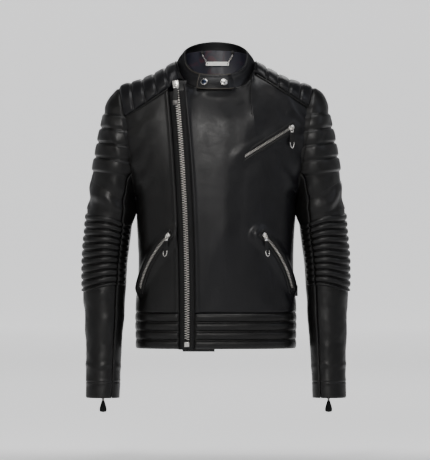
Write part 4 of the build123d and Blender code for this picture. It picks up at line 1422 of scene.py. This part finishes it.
def main_zip():
    length = MAIN.length + STOP["main"]
    wide = PLACKET_HALF + 2.5
    tape = [(1.2, -2.6), (wide, -4.2), (wide, -3.2), (9, -1.6), (5.4, -1.2), (1.2, -1.2)]
    for side, sign in SIDES.items():
        edge = [(sign * x, y) for x, y in tape[::-sign]]
        ribbon(f"main_zip_tape_{side}", MAIN, 14, length + 12, edge, TAPE, "torso", "zip_tape",
               "main_zip_tape")
        for lane in (6.6, 9.4):
            line, _, across, out = MAIN.at(np.linspace(16, length + 10, 120))
            stitch_row("torso_stitching", line + across * sign * (lane + 1) - out * 1.1, 3.4, 2.4, 0.35)
    heights = (-1.3, MAIN_CHAIN_TOP - 0.1)
    teeth("main_zip_teeth", MAIN, length - 6, 5.3, heights, 5.4, "torso", "main_zip_chain")
    frame_at = (v[0] for v in MAIN.at(length - 4))
    box = plate("main_zip_box", *frame_at, box_outline(-2, 9, 5.6), -1.3, 2.2, NICKEL, 0.5)
    place(box, "torso", "nickel")
    slider("main_zip", MAIN, 5.2, MAIN_CHAIN_TOP, -1.4, 20.0)
    puller("main_zip", MAIN, 0.0, "main")


def pocket_zips():
    for key, track in POCKETS.items():
        length = track.length + STOP["pocket"]
        tape = [(-6.4, 0.3), (6.4, 0.3), (6.4, 1.1), (-6.4, 1.1)]
        ribbon(f"{key}_tape", track, -7, length, tape, TAPE, "torso", "zip_tape", "pocket_zip_tapes")
        heights = (1.1, POCKET_CHAIN_TOP - 0.2)
        teeth(f"{key}_teeth", track, length - 5, 3.0, heights, 3.8, "torso", "pocket_zip_chains")
        for sign in (1, -1):
            a = np.linspace(0, 2 * math.pi, 18, endpoint=False)
            lip = [(sign * 7.3 + 3.0 * math.cos(t) * abs(math.cos(t)) ** -0.2, 0.9 + 1.3 * math.sin(t))
                   for t in a]
            name = f"{key}_welt_{'upper' if sign > 0 else 'lower'}"
            ribbon(name, track, -11, length + 3, lip, LEATHER_MAT, "torso", "leather")
            line, _, across, out = track.at(np.linspace(-9, length + 1, 60))
            stitch_row("torso_stitching", line + across * sign * 9.4 + out * 1.8, 3.6, 2.6, 0.32)
        for end in (-11.5, length + 3):
            frame_at = (v[0] for v in track.at(end))
            tack = plate(f"{key}_end_{'top' if end < 0 else 'foot'}", *frame_at, box_outline(-2.0, 2.0, 8.4),
                         0.0, 1.6, LEATHER_MAT, 0.8)
            place(tack, "torso", "leather")
        slider(key, track, 3.1, POCKET_CHAIN_TOP, 1.2, 12.0)
        chest = key == "chest"
        puller(key, track, 4.0 if chest else -6.0, "tip" if chest else "clamp")


def cuff_zips():
    for side, track in CUFFS.items():
        body = f"forearm_{side}"
        key = f"cuff_zip_{side}"
        length = track.length + 14
        tape = [(-8, 0.6), (8, 0.6), (8, 1.4), (-8, 1.4)]
        ribbon(f"{key}_woven_tape", track, -3, length + 2, tape, TAPE, body, "zip_tape", f"{key}_tape")
        heights = (1.4, CUFF_CHAIN_TOP - 0.1)
        teeth(f"{key}_teeth", track, length - 2, 2.7, heights, 2.4, body, f"{key}_chain")
        for letter, sign in (("a", 1), ("b", -1)):
            lip = round_outline(4.2, 1.5, 18) + np.array([sign * 8.0, 0.3])
            ribbon(f"{key}_lip_{letter}", track, -5, length + 4, lip, LEATHER_MAT, body, "leather")
        slider(key, track, 2.6, CUFF_CHAIN_TOP, 1.4, 11.0)
        puller(key, track, 0.0, "drop")


def hidden_layers():
    """Lining of the body, the facing behind the main zip, and the pocket bags."""
    z = np.linspace(HEM_Z + 7, WAIST_SEAM_Z + 3, 24)[:, None]
    start, end = angle_at(zip_line(z)[0] + 10, z), angle_at(zip_line(z)[0] - 10, z)
    p = torso_at(start + (360 + end - start) * np.linspace(0, 1, 200)[None], z + np.zeros((1, 200)))
    lining("lining_waist", p, LINING_INSET)

    a = np.linspace(0, 180, 110)[None]
    v = np.linspace(0, 1, 30)[:, None]
    low = collar_ring(a, 0 * a - 0.75, -13.0)
    high = collar_ring(a, 0.55 + 0 * a, -5.4)
    p = low + (high - low) * v[..., None]
    p = p + normals(p) * (0.9 * field(p, 24, 75.0, (1, 1, 2)))[..., None]
    neck = shell("neck_lining", p, SATIN, 0.7)
    place(neck, "torso", "lining_satin")

    z = np.linspace(-66, -26, 24)[:, None]
    a = angle_at(-90 + 22 * np.linspace(0, 1, 24)[None], z)
    p = torso_at(a, z + 0 * a, -5.0)
    corner = shell("neck_corner_leather", p, LEATHER_MAT, 1.2)
    place(corner, "torso", "leather")

    z = np.linspace(HEM_Z - 5.5, -150, 90)[:, None]
    x = zip_line(z)[0]
    a = angle_at(x - 12, z) + (angle_at(x + 62, z) - angle_at(x - 12, z)) * np.linspace(0, 1, 40)[None]
    p = torso_at(a, z + 0 * a, -6.0)
    finish_leather("zip_facing_leather", p, 0.3 * field(p, 20, 80.0), ["zip_facing"], thick=2.0)

    shapes = [(-150, -340, (70, 160), (60, 150)), (-390, -530, (85, 150), (70, 150)),
              (-390, -530, (-150, -100), (-150, -98))]
    for k, (top_z, low_z, upper, lower) in enumerate(shapes):
        z = np.linspace(low_z, top_z, 30)[:, None]
        s = (top_z - z) / (top_z - low_z)
        a0, a1 = (angle_at(upper[i] + s * (lower[i] - upper[i]), z) for i in (0, 1))
        a0, a1 = np.minimum(a0, a1), np.maximum(a0, a1)
        p = torso_at(a0 + (a1 - a0) * np.linspace(0, 1, 30)[None], z + np.zeros((1, 30)), -4.6)
        bag = shell(f"pocket_bag_{k}", p, SATIN, 2.6)
        place(bag, "torso", "lining_satin", "pocket_bags")


def side_label():
    low, high = (np.array(v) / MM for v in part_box("side_label"))
    outline = [(-1.0, -1.2), (-0.4, -1.2), (4.6, -0.8), (5.6, 0.0), (4.6, 0.8), (-0.4, 1.2), (-1.0, 1.2)]
    foot = np.array([low[0], (low[1] + high[1]) / 2, low[2]])
    label = plate("blank_side_label", foot, *np.eye(3), outline, 0, high[2] - low[2], LABEL, 0.2)
    place(label, "torso", "label_cloth", "side_label")


# ---------------------------------------------------------------- stage, light, camera
FLOOR_RADIUS, COVE = 12.0, 2.5             # metres


def stage():
    """Pale round studio: a flat floor that curves up into a wall; it glows with painted light from its own
    emission, brightest behind the jacket and dim in front and to the sides.
    """
    floor_z = cad_box[0][2] - 0.11
    profile = [(r, floor_z) for r in (0.05, 0.8, 2.0, 4.5, 8.0, FLOOR_RADIUS)]
    profile += [(FLOOR_RADIUS + COVE * math.sin(t), floor_z + COVE * (1 - math.cos(t)))
                for t in np.linspace(0.15, math.pi / 2, 12)]
    profile += [(FLOOR_RADIUS + COVE, 9.0)]
    turn = np.linspace(0, 2 * math.pi, 72, endpoint=False)
    rows = np.array([[(r * math.cos(t), r * math.sin(t), z) for t in turn] for r, z in profile])
    mat, tree, shader = material("studio_sweep", (0.80, 0.80, 0.81), 0.95)
    where = node(tree, "ShaderNodeTexCoord").outputs["Object"]
    split = node(tree, "ShaderNodeSeparateXYZ")
    tree.links.new(where, split.inputs["Vector"])
    aside = node(tree, "ShaderNodeMath", operation="ABSOLUTE")
    tree.links.new(split.outputs["X"], aside.inputs[0])
    painted_glow = node(tree, "ShaderNodeMath", operation="MULTIPLY")
    soft = dict(interpolation_type="SMOOTHSTEP")
    ranged(tree, split.outputs["Y"], painted_glow.inputs[0], (-0.5, 0.7), (0.0, 1.0), **soft)
    ranged(tree, aside.outputs[0], painted_glow.inputs[1], (2.6, 6.5), (1.0, 0.0), **soft)
    # Emission strength from this mask: painted light, the sweep glowing brightest behind the jacket and
    # dimmer in front and to the sides.
    ranged(tree, painted_glow.outputs[0], shader.inputs["Emission Strength"], (0, 1), (0.10, 0.84))
    shader.inputs["Emission Color"].default_value = (1, 1, 1, 1)
    faces = grid_faces(len(rows), len(turn), 0, True) + [tuple(range(len(turn)))[::-1]]
    make_object("studio_sweep", rows.reshape(-1, 3) / MM, faces, mat)


def area_light(name, place, target, size, power, colour=(1, 1, 1)):
    data = bpy.data.lights.new(name, "AREA")
    data.shape, data.size, data.size_y = "RECTANGLE", size[0], size[1]
    data.energy, data.color = power, colour
    lamp = bpy.data.objects.new(name, data)
    lamp.location = place
    lamp.rotation_euler = (Vector(target) - Vector(place)).to_track_quat("-Z", "Y").to_euler()
    bpy.context.scene.collection.objects.link(lamp)


def lights():
    world = bpy.data.worlds.new("studio")
    world.use_nodes = True
    world.node_tree.nodes["Background"].inputs["Color"].default_value = (0.95, 0.96, 1.0, 1)
    world.node_tree.nodes["Background"].inputs["Strength"].default_value = 0.08
    bpy.context.scene.world = world
    middle = (0, 0, -0.36)
    area_light("front", (-0.75, -4.0, 1.3), (0, 0, -0.25), (0.9, 0.9), 60, (1.0, 0.98, 0.95))
    area_light("key_left", (-2.0, -1.3, 1.2), middle, (0.8, 1.2), 2.6, (1.0, 0.96, 0.88))
    area_light("fill_right", (2.1, -1.2, 1.2), middle, (1.0, 1.4), 6, (0.84, 0.88, 1.0))
    area_light("top", (0.1, -0.7, 2.1), (0, 0, -0.2), (1.6, 0.9), 22)
    area_light("back", (0.6, 5.0, 2.4), (0, 0, -0.25), (2.4, 1.6), 26)


def camera():
    azimuth, elevation, distance = math.radians(-0.5), math.radians(0.2), 10.0
    seen_width = 0.9675
    aim = Vector((-0.002, 0.0, -0.3605))
    back_off = Vector((math.sin(azimuth) * math.cos(elevation), -math.cos(azimuth) * math.cos(elevation),
                       math.sin(elevation)))
    data = bpy.data.cameras.new("camera")
    data.sensor_fit, data.sensor_width = "HORIZONTAL", 36.0
    data.lens = data.sensor_width * distance / seen_width
    cam = bpy.data.objects.new("camera", data)
    cam.location = aim + back_off * distance
    cam.rotation_euler = (aim - cam.location).to_track_quat("-Z", "Y").to_euler()
    bpy.context.scene.collection.objects.link(cam)
    bpy.context.scene.camera = cam


camera()
lights()
stage()
fronts()
back()
waistband()
yokes()
armhole_seams()
sleeves()
collar()
collar_seat()
collar_edges()
studs()
hanger()
main_zip()
pocket_zips()
cuff_zips()
hidden_layers()
side_label()
for group, rows in STITCHES.items():
    thread = build_stitches(group, rows)
    if group.startswith("forearm"):
        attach(thread, group.replace("forearm_stitching", "forearm"))
    elif group == "collar_tab_stitching":
        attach(thread, "collar_tab")
    else:
        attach(thread, PULLER_THREADS.get(group, "torso"))
